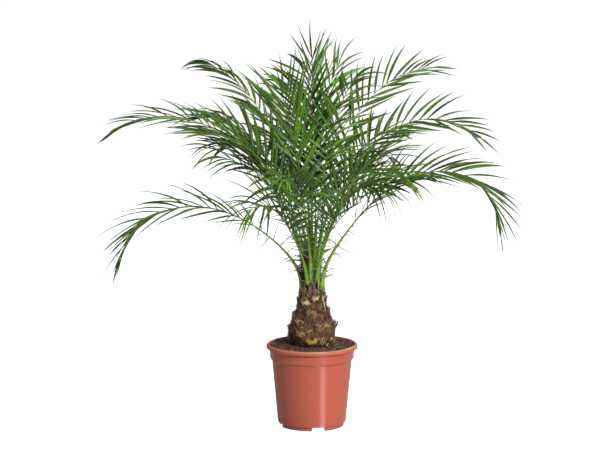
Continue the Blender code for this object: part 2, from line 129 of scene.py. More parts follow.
# Trunk and the matted neck that the stalks stand in, with heights above the soil
TRUNK_BASE_Z = 0.1723
TRUNK_OUTLINE = (
    (-0.004, 0.0350), (0.000, 0.0385), (0.009, 0.0440), (0.021, 0.0470), (0.038, 0.0445),
    (0.061, 0.0368), (0.080, 0.0295), (0.097, 0.0262), (0.106, 0.0240), (0.114, 0.0180),
    (0.122, 0.0145), (0.136, 0.0115), (0.152, 0.0080), (0.172, 0.0045), (0.182, 0.0006),
)
TRUNK_STEPS = 260
TRUNK_ROW = 0.0008
GREEN_NECK = (0.120, 0.136)

# Its surface: lumps, fibres that wind round it, each with a twist and a seed, and the scales
# below and above the stubs. Nearer the axis than FULL_RELIEF the relief fades
LUMPS_A_METRE = 95
LUMP_HEIGHT = 0.0018
FIBRE_TWISTS = ((-1300.0, 3.0), (1100.0, 11.0), (250.0, 23.0))
FIBRES_ACROSS = 420
FIBRES_ALONG = 60
FIBRE_HEIGHT = 0.0014
SCALE_HEIGHT = 0.0034
SCALE_WIDTH = 0.0085
SCALE_BELOW = 0.0095
SCALE_ABOVE = 0.0045
SCALE_LIMIT = 0.022
BARK_SINK = 0.0012
FULL_RELIEF = 0.02

# Stubs of old leaf bases, those of the front listed and the others on a spiral
Stub = namedtuple("Stub", "azimuth height width finish")
FRONT_STUBS = (
    Stub(286, 0.1025, 0.0165, "cream"),
    Stub(324, 0.1000, 0.0100, "cream"),
    Stub(239, 0.0935, 0.0185, "cream"),
    Stub(270, 0.0710, 0.0190, "olive"),
    Stub(301, 0.0630, 0.0110, "olive"),
    Stub(227, 0.0500, 0.0120, "olive"),
    Stub(5, 0.0400, 0.0140, "brown"),
    Stub(287, 0.0400, 0.0125, "olive"),
    Stub(240, 0.0300, 0.0170, "olive"),
    Stub(270, 0.0170, 0.0225, "yellow"),
    Stub(297, 0.0140, 0.0140, "olive"),
    Stub(193, 0.0940, 0.0150, "brown"),
    Stub(188, 0.0640, 0.0160, "brown"),
    Stub(192, 0.0370, 0.0160, "brown"),
    Stub(347, 0.0960, 0.0140, "brown"),
    Stub(352, 0.0700, 0.0150, "brown"),
)
CUT_FINISH = {"brown": "brown", "yellow": "yellow"}
TornStrip = namedtuple("TornStrip", "azimuth height stand up out curl length radius finish")
TORN_STRIPS = (
    TornStrip(322, 0.104, 0.0020, -1.0, 0.30, 0.0, 0.036, 0.0018, 1),
    TornStrip(3, 0.034, -0.0010, 0.2, 1.0, 2.4, 0.018, 0.0044, 2),
    TornStrip(340, 0.107, 0.0, 0.2, 1.0, 0.6, 0.009, 0.0016, 2),
    TornStrip(200, 0.096, 0.0, 0.6, 1.0, 0.4, 0.006, 0.0012, 2),
)
SPIRAL_STEPS = 40
SPIRAL_FIRST_HEIGHT = 0.008
SPIRAL_PITCH = 0.0021
STUB_SPACING = 0.0165
STUB_LEAN = 41.0
STUB_WIDTH = 0.0165
STUB_DEPTH = 0.0080
STUB_STAND = 0.0058
STUB_TORN = 0.0045
STUB_CORNERS = 18
STUB_ROOT_STRANDS = 12
STUB_EDGE_STRANDS = 16
STUB_CROSS_HAIRS = 4
STUB_STRAND_RADIUS = 0.0004

# The rings of a stub: how far up the trunk each lies, how far out from it and how far along
# the stub, as a share of its stand, with the shares of its width and depth
STUB_RINGS = (
    (-0.010, -0.0035, 0.0, 1.15, 0.70),
    (-0.0055, 0.0004, 0.0, 1.18, 0.95),
    (-0.0010, 0.0022, 0.0, 1.06, 1.0),
    (0.0, 0.0, 0.6, 0.84, 0.92),
    (0.0, 0.0, 1.0, 0.60, 0.76),
)
# The rings of its cut, from the edge to the middle: their size, and how deep they lie
CUT_RINGS = ((1.0, 0.0), (0.86, -0.0004), (0.70, 0.0012), (0.30, 0.0020))

# Sheaths of stalks, from below their ledge to a torn top with frayed strands
SHEATH_COLUMNS = 19
SHEATH_STEPS = 5
SHEATH_SINK = 0.008
SHEATH_TOP = 0.012
SHEATH_STRANDS = 20
OLD_SHEATH_SINK = 0.006
OLD_SHEATH_STRANDS = 90
OldSheath = namedtuple("OldSheath", "azimuth reach breadth top")
OLD_SHEATHS = (
    OldSheath(271, 0.0240, 0.0250, 0.044),
    OldSheath(222, 0.0215, 0.0150, 0.014),
    OldSheath(322, 0.0225, 0.0150, 0.016),
    OldSheath(30, 0.0235, 0.0200, 0.024),
    OldSheath(75, 0.0235, 0.0200, 0.030),
    OldSheath(110, 0.0235, 0.0200, 0.028),
    OldSheath(155, 0.0235, 0.0200, 0.022),
)

# Hair: a tuft of dark hairs between the stalks, which is also painted shade where the stalk
# bundle's left side lies in shade, pale ones across their feet, flat and loose ones
# on the trunk, but none where a noise is above BARE_ABOVE, and those of the neck, which are
# short if they start below SHORT_BELOW
TUFT_HAIRS = 640
TUFT_AZIMUTH = 221.0
TUFT_SPREAD = 12
TUFT_RADII = (0.014, 0.0245)
TUFT_HEIGHTS = (0.130, 0.170)
CROSS_HAIRS = 120
CROSS_RADII = (0.016, 0.024)
CROSS_HEIGHTS = (0.108, 0.145)
FLAT_HAIRS = 4200
LOOSE_HAIRS = 1300
HAIR_HEIGHTS = (0.000, 0.112)
BARE_ABOVE = 0.16
NECK_HAIRS = 900
NECK_HEIGHTS = (0.094, 0.148)
SHORT_BELOW = 0.114

# Tiers of leaf stalks round the neck: ledge height above the soil, neck radius,
# and the stalk's width and thickness at its foot
Tier = namedtuple("Tier", "ledge neck width thickness")
TIERS = {
    1: Tier(0.100, 0.0160, 0.0105, 0.0080),
    2: Tier(0.118, 0.0115, 0.0060, 0.0042),
    3: Tier(0.136, 0.0072, 0.0056, 0.0040),
    4: Tier(0.152, 0.0000, 0.0064, 0.0050),
}
STALK_GAP = 0.0003

# Fronds. length is the rib's, rise its angle once it has left the neck, droop
# how far it has turned down at its tip, late the power that says how late it
# does so and roll how far its blade leans. spread and close are the angles
# between rib and leaflets at the foot and the tip of the blade, lift and
# lift_tip the angles by which they rise out of it there, leaf the length of the
# longest, sag how far each bends down, solids how many solids the frond stands
# for and tone which greens its leaflets are dealt. The tones are partly the
# leaves' own greens and partly painted light and shade: bright on the fronds
# at the front, as painted light, and deep on those at the back and inside,
# as painted shade
Frond = namedtuple(
    "Frond",
    "name azimuth tier length rise droop late roll spread close lift lift_tip leaf sag solids tone",
)
FRONDS = (
    Frond("left_low", 185, 1, 0.500, 50, 118, 2, -20, 49, 16, 9, 11, 0.122, 14, 2, "outer"),
    Frond("right_low", 348, 1, 0.550, 58, 140, 2.7, 46, 36, 9, 25, 20, 0.126, 16, 2, "outer"),
    Frond("left_mid", 177, 2, 0.580, 73, 98, 2, -22, 58, 18, 11, 12, 0.108, 13, 2, "outer"),
    Frond("right_mid", 351, 2, 0.545, 76, 112, 2.5, 48, 58, 18, 17, 23, 0.094, 8, 2, "outer"),
    Frond("right_high", 25, 2, 0.560, 85, 84, 2.3, 51, 57, 17, 36, 2, 0.102, 9, 2, "outer"),
    Frond("left_high", 149, 3, 0.520, 76, 58, 2.5, -25, 46, 15, 22, 1, 0.100, 36, 1, "outer"),
    Frond("top", 86, 4, 0.445, 90, 0, 2.2, -31, 70, 23, 27, 5, 0.100, 24, 1, "mid"),
    Frond("front_left_high", 244, 3, 0.420, 78, 20, 1.7, 23, 41, 17, 49, 1, 0.164, 19, 1, "bright"),
    Frond("front_right_high", 302, 3, 0.465, 81, 38, 2.4, -19, 75, 18, 40, -11, 0.104, 40, 1, "bright"),
    Frond("front_left_mid", 215, 2, 0.440, 70, 66, 2.8, 31, 45, 13, 53, 30, 0.144, 13, 2, "mid"),
    Frond("front_right_mid", 322, 2, 0.395, 82, 112, 2.2, -43, 53, 24, 40, 15, 0.100, 20, 2, "bright"),
    Frond("front_mid", 257, 2, 0.400, 70, 74, 1.8, 5, 56, 13, 32, 8, 0.120, 18, 2, "bright"),
    Frond("front_left_low", 242, 1, 0.370, 55, 74, 2.7, -36, 63, 12, 45, -4, 0.140, 28, 2, "mid"),
    Frond("front_low", 298, 1, 0.395, 60, 64, 2.5, 22, 52, 7, 50, -6, 0.164, 46, 2, "bright"),
    Frond("right_inner", 343, 3, 0.315, 61, 48, 1.8, 25, 75, 22, 50, -5, 0.118, 32, 1, "mid"),
    Frond("left_inner", 195, 3, 0.335, 72, 58, 2, -26, 56, 27, 15, 21, 0.134, 41, 1, "deep"),
    Frond("back_right_low", 57, 1, 0.425, 60, 76, 2.5, -11, 61, 18, 30, 21, 0.154, 16, 2, "deep"),
    Frond("back_low", 93, 1, 0.460, 52, 96, 2.4, -1, 48, 11, 32, 11, 0.118, 28, 2, "mid"),
    Frond("back_left_low", 130, 1, 0.420, 62, 78, 3.2, 5, 71, 13, 21, 27, 0.158, 40, 2, "deep"),
    Frond("back_right_mid", 55, 2, 0.475, 73, 86, 1.7, 11, 63, 23, 23, 23, 0.126, 8, 2, "mid"),
    Frond("back_mid", 102, 2, 0.525, 77, 80, 2.5, 18, 39, 22, 11, 1, 0.124, 22, 2, "mid"),
    Frond("back_left_mid", 140, 2, 0.470, 74, 76, 2, 0, 55, 12, 23, 14, 0.142, 21, 2, "deep"),
    Frond("back_high", 92, 3, 0.485, 78, 44, 1.6, -28, 62, 26, 42, 17, 0.164, 26, 1, "mid"),
    Frond("back_right_high", 42, 3, 0.450, 90, 34, 3.1, 54, 57, 16, 46, 5, 0.096, 46, 1, "mid"),
)
FLARE = 0.062
PATH_STEPS = 240
STATION_EVERY = 4
STALK_FOOT = 0.07
STALK_SHARE = 0.60
STALK_SWELL = {1: 0.75, 2: 2.00, 3: 2.20, 4: 1.90}
RIB_TIP_WIDTH = 0.0012
RIB_TIP_THICKNESS = 0.0010
RIB_BURIED = 0.006

# Across and up, as shares of the rib's width and thickness: channelled above and round below
RIB_SECTION = (
    (-0.50, 0.22), (-0.42, -0.18), (-0.24, -0.44), (0.0, -0.55), (0.24, -0.44),
    (0.42, -0.18), (0.50, 0.22), (0.34, 0.45), (0.0, 0.30), (-0.34, 0.45),
)

# Leaflets: two rows, each folded up into a V, that arch out and down
LEAFLETS_A_SIDE = 21
LEAFLET_WIDTH = 0.0088
OUTER_WIDTH = 0.0084
FOOT_WIDTH = 0.36
TIP_FROM = 0.65
TIP_NARROWING = 0.35
LEAFLET_KEEL = 0.0006
LEAFLET_WIDEST = 0.30
LEAFLET_FOLD = 32.0
SHARP_FOLD = 25.0
LEAFLET_RINGS = 11
LEAFLET_OPEN = 1.12
LEAFLET_SWEEP = 0.40
LEAFLET_PROFILE = (0.14, 0.64)
LOWEST_LEAFLET = 0.22
LOW_LEAFLETS = 0.16
LEAFY_FROM = 0.30
ROW_STAGGER = 0.22
TURN_SPREAD = 10.0
LIFT_SPREAD = 17.0
TWIST_SPREAD = 50.0
LENGTH_SPREAD = 0.12
PLACE_SPREAD = 0.30
END_BLADE_LENGTH = 0.080
END_BLADE_WIDTH = LEAFLET_WIDTH * 0.8
END_ANGLE = 4.0

# The points of a blade's ring: the midrib is the third of six, and the underside starts at the fifth
BLADE_POINTS = 6
BLADE_MIDRIB = 2
BLADE_EDGE = 4

# Spines on the lower stalk
SPINE_FROM = 0.05
SPINE_EVERY = 0.0080
SPINE_LENGTH = 0.070
SPINE_RADIUS = 0.00130


# Small tools


def around(azimuth):
    """The level direction out from the pot's axis at an azimuth in degrees."""
    angle = math.radians(azimuth)
    return Vector((math.cos(angle), math.sin(angle), 0.0))


def by_trunk(azimuth, radius, height):
    """The point at a radius from the trunk's axis and a height above the soil."""
    return around(azimuth) * radius + UP * (TRUNK_BASE_Z + height)


def turn_between(azimuth, other):
    """From one azimuth to another by the shorter way, in degrees."""
    return (azimuth - other + 180) % 360 - 180


def turned_by(vector, axis, degrees):
    return Matrix.Rotation(math.radians(degrees), 3, axis) @ vector


def smooth_step(value):
    value = min(1.0, max(0.0, value))
    return value * value * (3 - 2 * value)


def add_object(name, data):
    made = bpy.data.objects.new(name, data)
    bpy.context.scene.collection.objects.link(made)
    return made


class Sheaf:
    """Points, faces and finishes of many shapes that become one piece.

    Each corner of a face has a place across and along its shape, for the finish.
    """

    def __init__(self):
        self.points, self.faces, self.places, self.finishes = [], [], [], []

    def face(self, corners, places, finish):
        self.faces.append(corners)
        self.places.append(places)
        self.finishes.append(finish)

    def plain_face(self, corners, place, finish):
        """A face with one place for all its corners."""
        corners = tuple(corners)
        self.face(corners, (place,) * len(corners), finish)

    def loft(self, rings, finish, caps=True, underside=None):
        """A skin through rings with equal counts of points. underside is its first side and its finish."""
        sides, first, last = len(rings[0]), len(self.points), len(rings) - 1
        finishes = [finish] * sides
        if underside:
            start, below = underside
            finishes[start:] = [below] * (sides - start)
        for ring in rings:
            self.points.extend(ring)
        for k in range(last):
            low, near, far = first + k * sides, k / last, (k + 1) / last
            for i in range(sides):
                j, left, right = (i + 1) % sides, i / sides, (i + 1) / sides
                corners = (low + i, low + j, low + sides + j, low + sides + i)
                self.face(corners, ((left, near), (right, near), (right, far), (left, far)), finishes[i])
        if caps:
            count = len(self.points)
            self.plain_face(reversed(range(first, first + sides)), (0.5, 0.0), finish)
            self.plain_face(range(count - sides, count), (0.5, 1.0), finish)

    def thing(self, name, kinds, smooth=True, sharp=None):
        """An object of all the shapes. Edges that turn by more than sharp degrees stay crisp."""
        mesh = bpy.data.meshes.new(name)
        mesh.from_pydata(self.points, [], self.faces)
        for kind in kinds:
            mesh.materials.append(FINISHES[kind])
        mesh.polygons.foreach_set("material_index", self.finishes)
        mesh.polygons.foreach_set("use_smooth", [smooth] * len(self.faces))
        flat = [number for face in self.places for place in face for number in place]
        mesh.uv_layers.new(name="place").data.foreach_set("uv", flat)
        if sharp is not None:
            mesh.set_sharp_from_angle(angle=math.radians(sharp))
        return add_object(name, mesh)

    def piece(self, name, kinds, **looks):
        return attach(self.thing(name, kinds, **looks), "root")


# Finishes


def group(name, inputs, outputs):
    """A node group with named sockets, and its own input and output nodes' sockets.

    An input is a kind of socket, or a number that it starts from.
    """
    made = bpy.data.node_groups.new(name, "ShaderNodeTree")
    for label, value in inputs.items():
        kind = "Float" if isinstance(value, float) else value
        socket = made.interface.new_socket(label, in_out="INPUT", socket_type="NodeSocket" + kind)
        if kind == "Float":
            socket.default_value = value
    for label, kind in outputs.items():
        made.interface.new_socket(label, in_out="OUTPUT", socket_type="NodeSocket" + kind)
    return made, made.nodes.new("NodeGroupInput").outputs, made.nodes.new("NodeGroupOutput").inputs


def feed(tree, socket, value):
    """Wires a socket to another, or sets it. Three numbers are a colour."""
    if isinstance(value, bpy.types.NodeSocket):
        tree.links.new(value, socket)
    elif isinstance(value, tuple):
        socket.default_value = (*value, 1.0)
    else:
        socket.default_value = value


def node(tree, kind, inputs=None, **settings):
    """The outputs of a new node, with its settings, its inputs fed by name or number."""
    made = tree.nodes.new("ShaderNode" + kind)
    for key, value in settings.items():
        setattr(made, key, value)
    for key, value in (inputs or {}).items():
        feed(tree, made.inputs[key], value)
    return made.outputs


def mixed(tree, share, first, second):
    return node(tree, "Mix", {0: share, 6: first, 7: second}, data_type="RGBA")[2]


def ranged(tree, value, low, high, to_low=0.0, to_high=1.0):
    return node(tree, "MapRange", {0: value, 1: low, 2: high, 3: to_low, 4: to_high})[0]


def maths(tree, operation, first, second=0.0):
    return node(tree, "Math", {0: first, 1: second}, operation=operation)[0]


def cloud(tree, where, size, detail):
    return node(tree, "TexNoise", {"Vector": where, "Scale": size, "Detail": detail})["Fac"]


def sharpened(tree, value, sharpness):
    """A cloud's value spread from 0 to 1, the harder the sharper."""
    half = maths(tree, "MULTIPLY", 0.5, sharpness)
    return ranged(tree, value, half, maths(tree, "SUBTRACT", 1.0, half))


def object_place(tree):
    return node(tree, "TexCoord")["Object"]


def height_above_floor(tree):
    return node(tree, "SeparateXYZ", {0: object_place(tree)})["Z"]


def blade_place(tree):
    """Across and along a blade, a stalk or a stub, each from 0 to 1."""
    place = node(tree, "SeparateXYZ", {0: node(tree, "TexCoord")["UV"]})
    return place["X"], place["Y"]


def for_camera(tree, unseen, seen):
    """One number for what the camera sees and another for all other light."""
    return ranged(tree, node(tree, "LightPath")["Is Camera Ray"], 0.0, 1.0, unseen, seen)


def make_patches():
    """Soft patches of two colours. Size is how many fit in a metre."""
    inputs = {"Light": "Color", "Dark": "Color", "Size": 40.0, "Sharpness": 0.5}
    made, given, out = group("soft_patches", inputs, {"Colour": "Color", "Mask": "Float"})
    share = sharpened(made, cloud(made, object_place(made), given["Size"], 4.0), given["Sharpness"])
    made.links.new(mixed(made, share, given["Dark"], given["Light"]), out["Colour"])
    made.links.new(share, out["Mask"])
    return made


def make_streaks():
    """Long thin streaks. Where is stretched by the counts across and along."""
    inputs = {"Where": "Vector", "Across": 300.0, "Along": 20.0, "Sharpness": 0.5}
    made, given, out = group("long_streaks", inputs, {"Mask": "Float"})
    counts = node(made, "CombineXYZ", {0: given["Across"], 1: given["Across"], 2: given["Along"]})[0]
    where = node(made, "VectorMath", {0: given["Where"], 1: counts}, operation="MULTIPLY")[0]
    made.links.new(sharpened(made, cloud(made, where, 1.0, 3.0), given["Sharpness"]), out["Mask"])
    return made


def make_grain():
    """Fine bumps for a Bump node's height."""
    made, given, out = group("fine_grain", {"Size": 600.0}, {"Height": "Float"})
    made.links.new(cloud(made, object_place(made), given["Size"], 5.0), out["Height"])
    return made


EFFECTS = {"patches": make_patches(), "streaks": make_streaks(), "grain": make_grain()}


def effect(tree, name, **inputs):
    return node(tree, "Group", inputs, node_tree=EFFECTS[name])


def blade_streaks(tree, across_count, along_count, sharpness):
    """Streaks that run along a blade, a stalk or a stub."""
    across, along = blade_place(tree)
    where = node(tree, "CombineXYZ", {0: across, 2: along})[0]
    made = effect(tree, "streaks", Where=where, Across=across_count, Along=along_count, Sharpness=sharpness)
    return made["Mask"]


def new_finish(name, roughness, specular=0.5):
    made = bpy.data.materials.new(name)
    made.use_nodes = True
    shader = made.node_tree.nodes["Principled BSDF"].inputs
    shader["Roughness"].default_value = roughness
    shader["Specular IOR Level"].default_value = specular
    return made, made.node_tree, shader


def raise_by(tree, shader, height, distance, strength=1.0):
    """Feeds a height to the shader's normal through a Bump node."""
    bump = node(tree, "Bump", {"Height": height, "Distance": distance, "Strength": strength})
    tree.links.new(bump["Normal"], shader["Normal"])


def pot_finish():
    """Satin terracotta plastic, a little dusty at the rim and scuffed round its foot."""
    made, tree, shader = new_finish("terracotta_plastic", 0.20, 0.27)
    light, dark, dust = (0.535, 0.122, 0.077), (0.495, 0.105, 0.063), (0.38, 0.22, 0.16)
    plain = effect(tree, "patches", Size=26.0, Sharpness=0.3, Light=light, Dark=dark)["Colour"]
    specks = effect(tree, "patches", Size=210.0, Sharpness=0.75)["Mask"]
    height = height_above_floor(tree)
    rim = ranged(tree, height, POT_HEIGHT - DUSTY_RIM, POT_HEIGHT)
    foot = ranged(tree, height, SCUFFED_FOOT, 0.0, 0.0, 0.55)
    worn = maths(tree, "MAXIMUM", rim, foot)
    worn = maths(tree, "MULTIPLY", worn, ranged(tree, specks, 0.0, 1.0, 0.45, 1.0))
    tree.links.new(mixed(tree, worn, plain, dust), shader["Base Color"])
    tree.links.new(ranged(tree, specks, 0.0, 1.0, 0.17, 0.24), shader["Roughness"])
    raise_by(tree, shader, effect(tree, "grain", Size=500.0)["Height"], 0.00004, 0.25)
    return made


def earth_finish(name, light, dark, size):
    made, tree, shader = new_finish(name, 0.95, 0.25)
    colour = effect(tree, "patches", Size=size, Sharpness=0.7, Light=light, Dark=dark)["Colour"]
    tree.links.new(colour, shader["Base Color"])
    raise_by(tree, shader, effect(tree, "grain", Size=1400.0)["Height"], 0.0008)
    return made


def bark_finish(name, light, dark, size):
    """Matted fibre: painted shade, near black, between its strands, in patches of two colours, and green
    among the stalks.
    """
    made, tree, shader = new_finish(name, 0.92, 0.25)
    place = object_place(tree)
    strands = effect(tree, "streaks", Where=place, Across=520.0, Along=60.0, Sharpness=0.72)["Mask"]
    broad = effect(tree, "patches", Size=size, Sharpness=0.8, Light=light, Dark=dark)["Colour"]
    # painted shade: the near-black colour where the strands mask is low stands for the shade in the crevices
    # between fibres
    colour = mixed(tree, strands, (0.050, 0.023, 0.014), broad)
    low, high = (TRUNK_BASE_Z + height for height in GREEN_NECK)
    among_stalks = ranged(tree, height_above_floor(tree), low, high)
    tree.links.new(mixed(tree, among_stalks, colour, (0.030, 0.046, 0.010)), shader["Base Color"])
    raise_by(tree, shader, strands, 0.0012, 0.9)
    return made


def strand_finish(name, light, dark):
    made, tree, shader = new_finish(name, 0.75, 0.3)
    colour = effect(tree, "patches", Size=90.0, Sharpness=0.6, Light=light, Dark=dark)["Colour"]
    tree.links.new(colour, shader["Base Color"])
    return made


def stub_finish(name, fresh, fibre):
    """The outside of an old stalk: streaked, browner towards its root."""
    made, tree, shader = new_finish(name, 0.62, 0.35)
    strands = blade_streaks(tree, 34.0, 2.5, 0.6)
    _, along = blade_place(tree)
    ripe = ranged(tree, along, 0.10, 0.55)
    share = maths(tree, "MULTIPLY", ranged(tree, strands, 0.0, 1.0, 0.25, 1.0), ripe)
    tree.links.new(mixed(tree, share, fibre, fresh), shader["Base Color"])
    raise_by(tree, shader, strands, 0.0006)
    return made


def stalk_finish():
    """Yellow-green at the foot, leaf green further out, with fine ribs along it."""
    made, tree, shader = new_finish("leaf_stalk", 0.40)
    strands = blade_streaks(tree, 26.0, 5.0, 0.5)
    pale = mixed(tree, strands, (0.120, 0.275, 0.018), (0.260, 0.470, 0.036))
    green = mixed(tree, strands, (0.090, 0.175, 0.026), (0.160, 0.270, 0.045))
    _, along = blade_place(tree)
    outward = ranged(tree, along, 0.20, 0.55)
    tree.links.new(mixed(tree, outward, pale, green), shader["Base Color"])
    raise_by(tree, shader, strands, 0.0003, 0.6)
    return made


def leaf_finish(name, light, dark, midrib, roughness):
    """Glossy leaflet: fine veins along it, a paler midrib and a green that drifts."""
    made, tree, shader = new_finish(name, roughness, 0.38)
    veins = blade_streaks(tree, 60.0, 2.0, 0.45)
    green = effect(tree, "patches", Size=32.0, Sharpness=0.5, Light=light, Dark=dark)["Colour"]
    shaded = mixed(tree, ranged(tree, veins, 0.0, 1.0, 0.22, 0.0), green, dark)
    across, _ = blade_place(tree)
    off_middle = maths(tree, "ABSOLUTE", maths(tree, "SUBTRACT", across, BLADE_MIDRIB / BLADE_POINTS))
    on_rib = ranged(tree, off_middle, 0.035, 0.0, 0.0, 0.7)
    tree.links.new(mixed(tree, on_rib, shaded, midrib), shader["Base Color"])
    raise_by(tree, shader, veins, 0.0002, 0.5)
    return made


def glowing_finish(name, colour, roughness, specular):
    made, tree, shader = new_finish(name, roughness, specular)
    feed(tree, shader["Base Color"], colour)
    feed(tree, shader["Emission Color"], (1.0, 1.0, 1.0))
    return made, tree, shader["Emission Strength"]


def floor_finish():
    """Pale floor that glows for the camera alone, so that it runs into the background."""
    made, tree, glow = glowing_finish("pale_floor", (0.45, 0.45, 0.45), 0.9, 0.1)
    feed(tree, glow, for_camera(tree, 0.0, FLOOR_GLOW))
    return made


def panel_finish():
    """Glows evenly from its left edge and fades to its right."""
    made, tree, glow = glowing_finish("floor_panel", (0.0, 0.0, 0.0), 1.0, 0.0)
    across, _ = blade_place(tree)
    feed(tree, glow, ranged(tree, across, 0.45, 1.0, PANEL_GLOW, 0.0))
    return made


# Leaflet greens: partly the leaves' own variety and partly painted light and shade. Fronds at the front are
# dealt the bright and lime greens as painted light, and those at the back and inside the deep greens as
# painted shade
TONES = {
    "lime": ((0.190, 0.420, 0.014), (0.110, 0.290, 0.008)),
    "bright": ((0.090, 0.310, 0.010), (0.052, 0.195, 0.006)),
    "mid": ((0.074, 0.166, 0.010), (0.036, 0.096, 0.006)),
    "deep": ((0.030, 0.068, 0.009), (0.012, 0.032, 0.005)),
    "grey": ((0.050, 0.078, 0.026), (0.024, 0.040, 0.014)),
}
TONE_DEAL_WITH_PAINTED_LIGHT_AND_SHADE = {
    "bright": ("bright", "bright", "bright", "lime", "mid", "deep"),
    "mid": ("mid", "mid", "deep", "mid", "deep", "bright"),
    "deep": ("deep", "deep", "mid"),
    "outer": ("grey", "mid", "grey", "deep", "mid"),
}
LEAFLET_FINISHES = (*TONES, "under")
UNDERSIDE = LEAFLET_FINISHES.index("under")

# How each other finish is made: its name, its light and dark colours, and for some the
# size of its patches. A leaf's midrib and roughness come last
FINISH_LIST = {
    "pot": (pot_finish,),
    "stalk": (stalk_finish,),
    "floor": (floor_finish,),
    "panel": (panel_finish,),
    "earth": (earth_finish, "potting_soil", (0.140, 0.066, 0.044), (0.018, 0.008, 0.007), 180.0),
    "crumb": (earth_finish, "soil_crumb", (0.250, 0.135, 0.085), (0.060, 0.030, 0.020), 90.0),
    "bark": (bark_finish, "trunk_fibre", (0.300, 0.142, 0.070), (0.155, 0.070, 0.070), 60.0),
    "sheath": (bark_finish, "sheath_fibre", (0.300, 0.150, 0.120), (0.170, 0.080, 0.082), 90.0),
    "shred": (strand_finish, "soil_shred", (0.480, 0.320, 0.180), (0.150, 0.080, 0.050)),
    "hair": (strand_finish, "trunk_hair", (0.330, 0.160, 0.074), (0.135, 0.064, 0.050)),
    "pale_hair": (strand_finish, "pale_hair", (1.000, 0.800, 0.430), (0.480, 0.290, 0.130)),
    "dark_hair": (strand_finish, "dark_hair", (0.060, 0.032, 0.018), (0.018, 0.010, 0.006)),
    "spine": (strand_finish, "stalk_spine", (0.330, 0.280, 0.210), (0.170, 0.130, 0.110)),
    "yellow": (stub_finish, "stub_yellow", (0.660, 0.510, 0.050), (0.160, 0.085, 0.022)),
    "olive": (stub_finish, "stub_olive", (0.440, 0.340, 0.092), (0.105, 0.058, 0.034)),
    "cream": (stub_finish, "stub_cream", (1.000, 0.860, 0.480), (0.200, 0.110, 0.045)),
    "brown": (stub_finish, "stub_brown", (0.260, 0.160, 0.105), (0.080, 0.046, 0.036)),
    "under": (
        leaf_finish, "leaf_under", (0.110, 0.205, 0.036), (0.062, 0.130, 0.022), (0.180, 0.280, 0.065), 0.50
    ),
}


def make_finishes():
    made = {kind: maker(*values) for kind, (maker, *values) in FINISH_LIST.items()}
    for tone, (light, dark) in TONES.items():
        rib = tuple(min(1.0, part * 1.5 + 0.02) for part in light)
        made[tone] = leaf_finish("leaf_" + tone, light, dark, rib, 0.34)
    return made


FINISHES = make_finishes()


# Pot and soil


def wall_radius(z):
    """Outer radius of the pot's plain wall between its foot and its collar."""
    low, high = FOOT_HEIGHT, COLLAR_FOOT_Z - COLLAR_STEP
    top = COLLAR_RADIUS - COLLAR_TAPER - COLLAR_STEP
    return WALL_FOOT_RADIUS + (top - WALL_FOOT_RADIUS) * (z - low) / (high - low)


def rounded(profile, radius):
    """The open outline with each inner corner turned into a small curve."""
    points = [Vector(point) for point in profile]
    made = [points[0]]
    for before, corner, after in zip(points, points[1:], points[2:]):
        reach = min(radius, (before - corner).length * 0.42, (after - corner).length * 0.42)
        start = corner + (before - corner).normalized() * reach
        end = corner + (after - corner).normalized() * reach
        for i in range(CORNER_STEPS + 1):
            t = i / CORNER_STEPS
            made.append(start * (1 - t) ** 2 + corner * (2 * t * (1 - t)) + end * t * t)
    made.append(points[-1])
    return made


def pot_outline():
    """From the middle disc's edge on the underside out, up the outside, over the lip and down inside."""
    wall = WALL_THICKNESS
    step_z = COLLAR_FOOT_Z - COLLAR_STEP
    plate_z = FOOT_HEIGHT + wall
    lip_foot_z = POT_HEIGHT - LIP_HEIGHT
    half_round = LIP_ROUND / 2
    return [
        (BASE_DISC_RADIUS, 0.0),
        (BASE_DISC_RADIUS + wall, FOOT_HEIGHT),
        (FOOT_RADIUS - FOOT_THICKNESS, FOOT_HEIGHT),
        (FOOT_RADIUS - FOOT_THICKNESS, 0.0),
        (FOOT_RADIUS - FOOT_TAPER, 0.0),
        (FOOT_RADIUS, FOOT_HEIGHT),
        (WALL_FOOT_RADIUS, FOOT_HEIGHT),
        (wall_radius(step_z), step_z),
        (COLLAR_RADIUS - COLLAR_TAPER, COLLAR_FOOT_Z),
        (COLLAR_RADIUS, lip_foot_z - half_round),
        (LIP_RADIUS - half_round, lip_foot_z),
        (LIP_RADIUS, lip_foot_z + half_round),
        (LIP_RADIUS, POT_HEIGHT - LIP_ROUND),
        (LIP_RADIUS - LIP_ROUND, POT_HEIGHT),
        (LIP_RADIUS - 2 * LIP_ROUND, POT_HEIGHT - LIP_ROUND / 4),
        (COLLAR_RADIUS - wall, lip_foot_z),
        (COLLAR_RADIUS - COLLAR_TAPER - wall, COLLAR_FOOT_Z),
        (wall_radius(step_z) - wall, step_z),
        (wall_radius(plate_z) - wall, plate_z),
        (BASE_DISC_RADIUS, plate_z),
        (BASE_DISC_RADIUS - wall, wall),
    ]


def pot_azimuths():
    """Even steps, with more of them at the sides of the notches in the foot."""
    even = [360 * i / POT_STEPS for i in range(POT_STEPS)]
    sides = []
    for i in range(NOTCH_COUNT):
        middle = NOTCH_AZIMUTH + i * 360 / NOTCH_COUNT
        for hand in (-1, 1):
            for part in (0.0, 0.25, 0.5, 0.75, 1.0):
                sides.append((middle + hand * (NOTCH_HALF - NOTCH_SIDE * part)) % 360)
    close = NOTCH_SIDE * 0.2
    kept = [a for a in even if all(abs(turn_between(a, b)) > close for b in sides)]
    return sorted(kept + sides)


def notch_lift(azimuth):
    """How high the foot ring's lower edge is lifted at an azimuth."""
    pitch = 360 / NOTCH_COUNT
    off = abs((azimuth - NOTCH_AZIMUTH + pitch / 2) % pitch - pitch / 2)
    return smooth_step((NOTCH_HALF - off) / NOTCH_SIDE) ** 0.5 * NOTCH_TOP


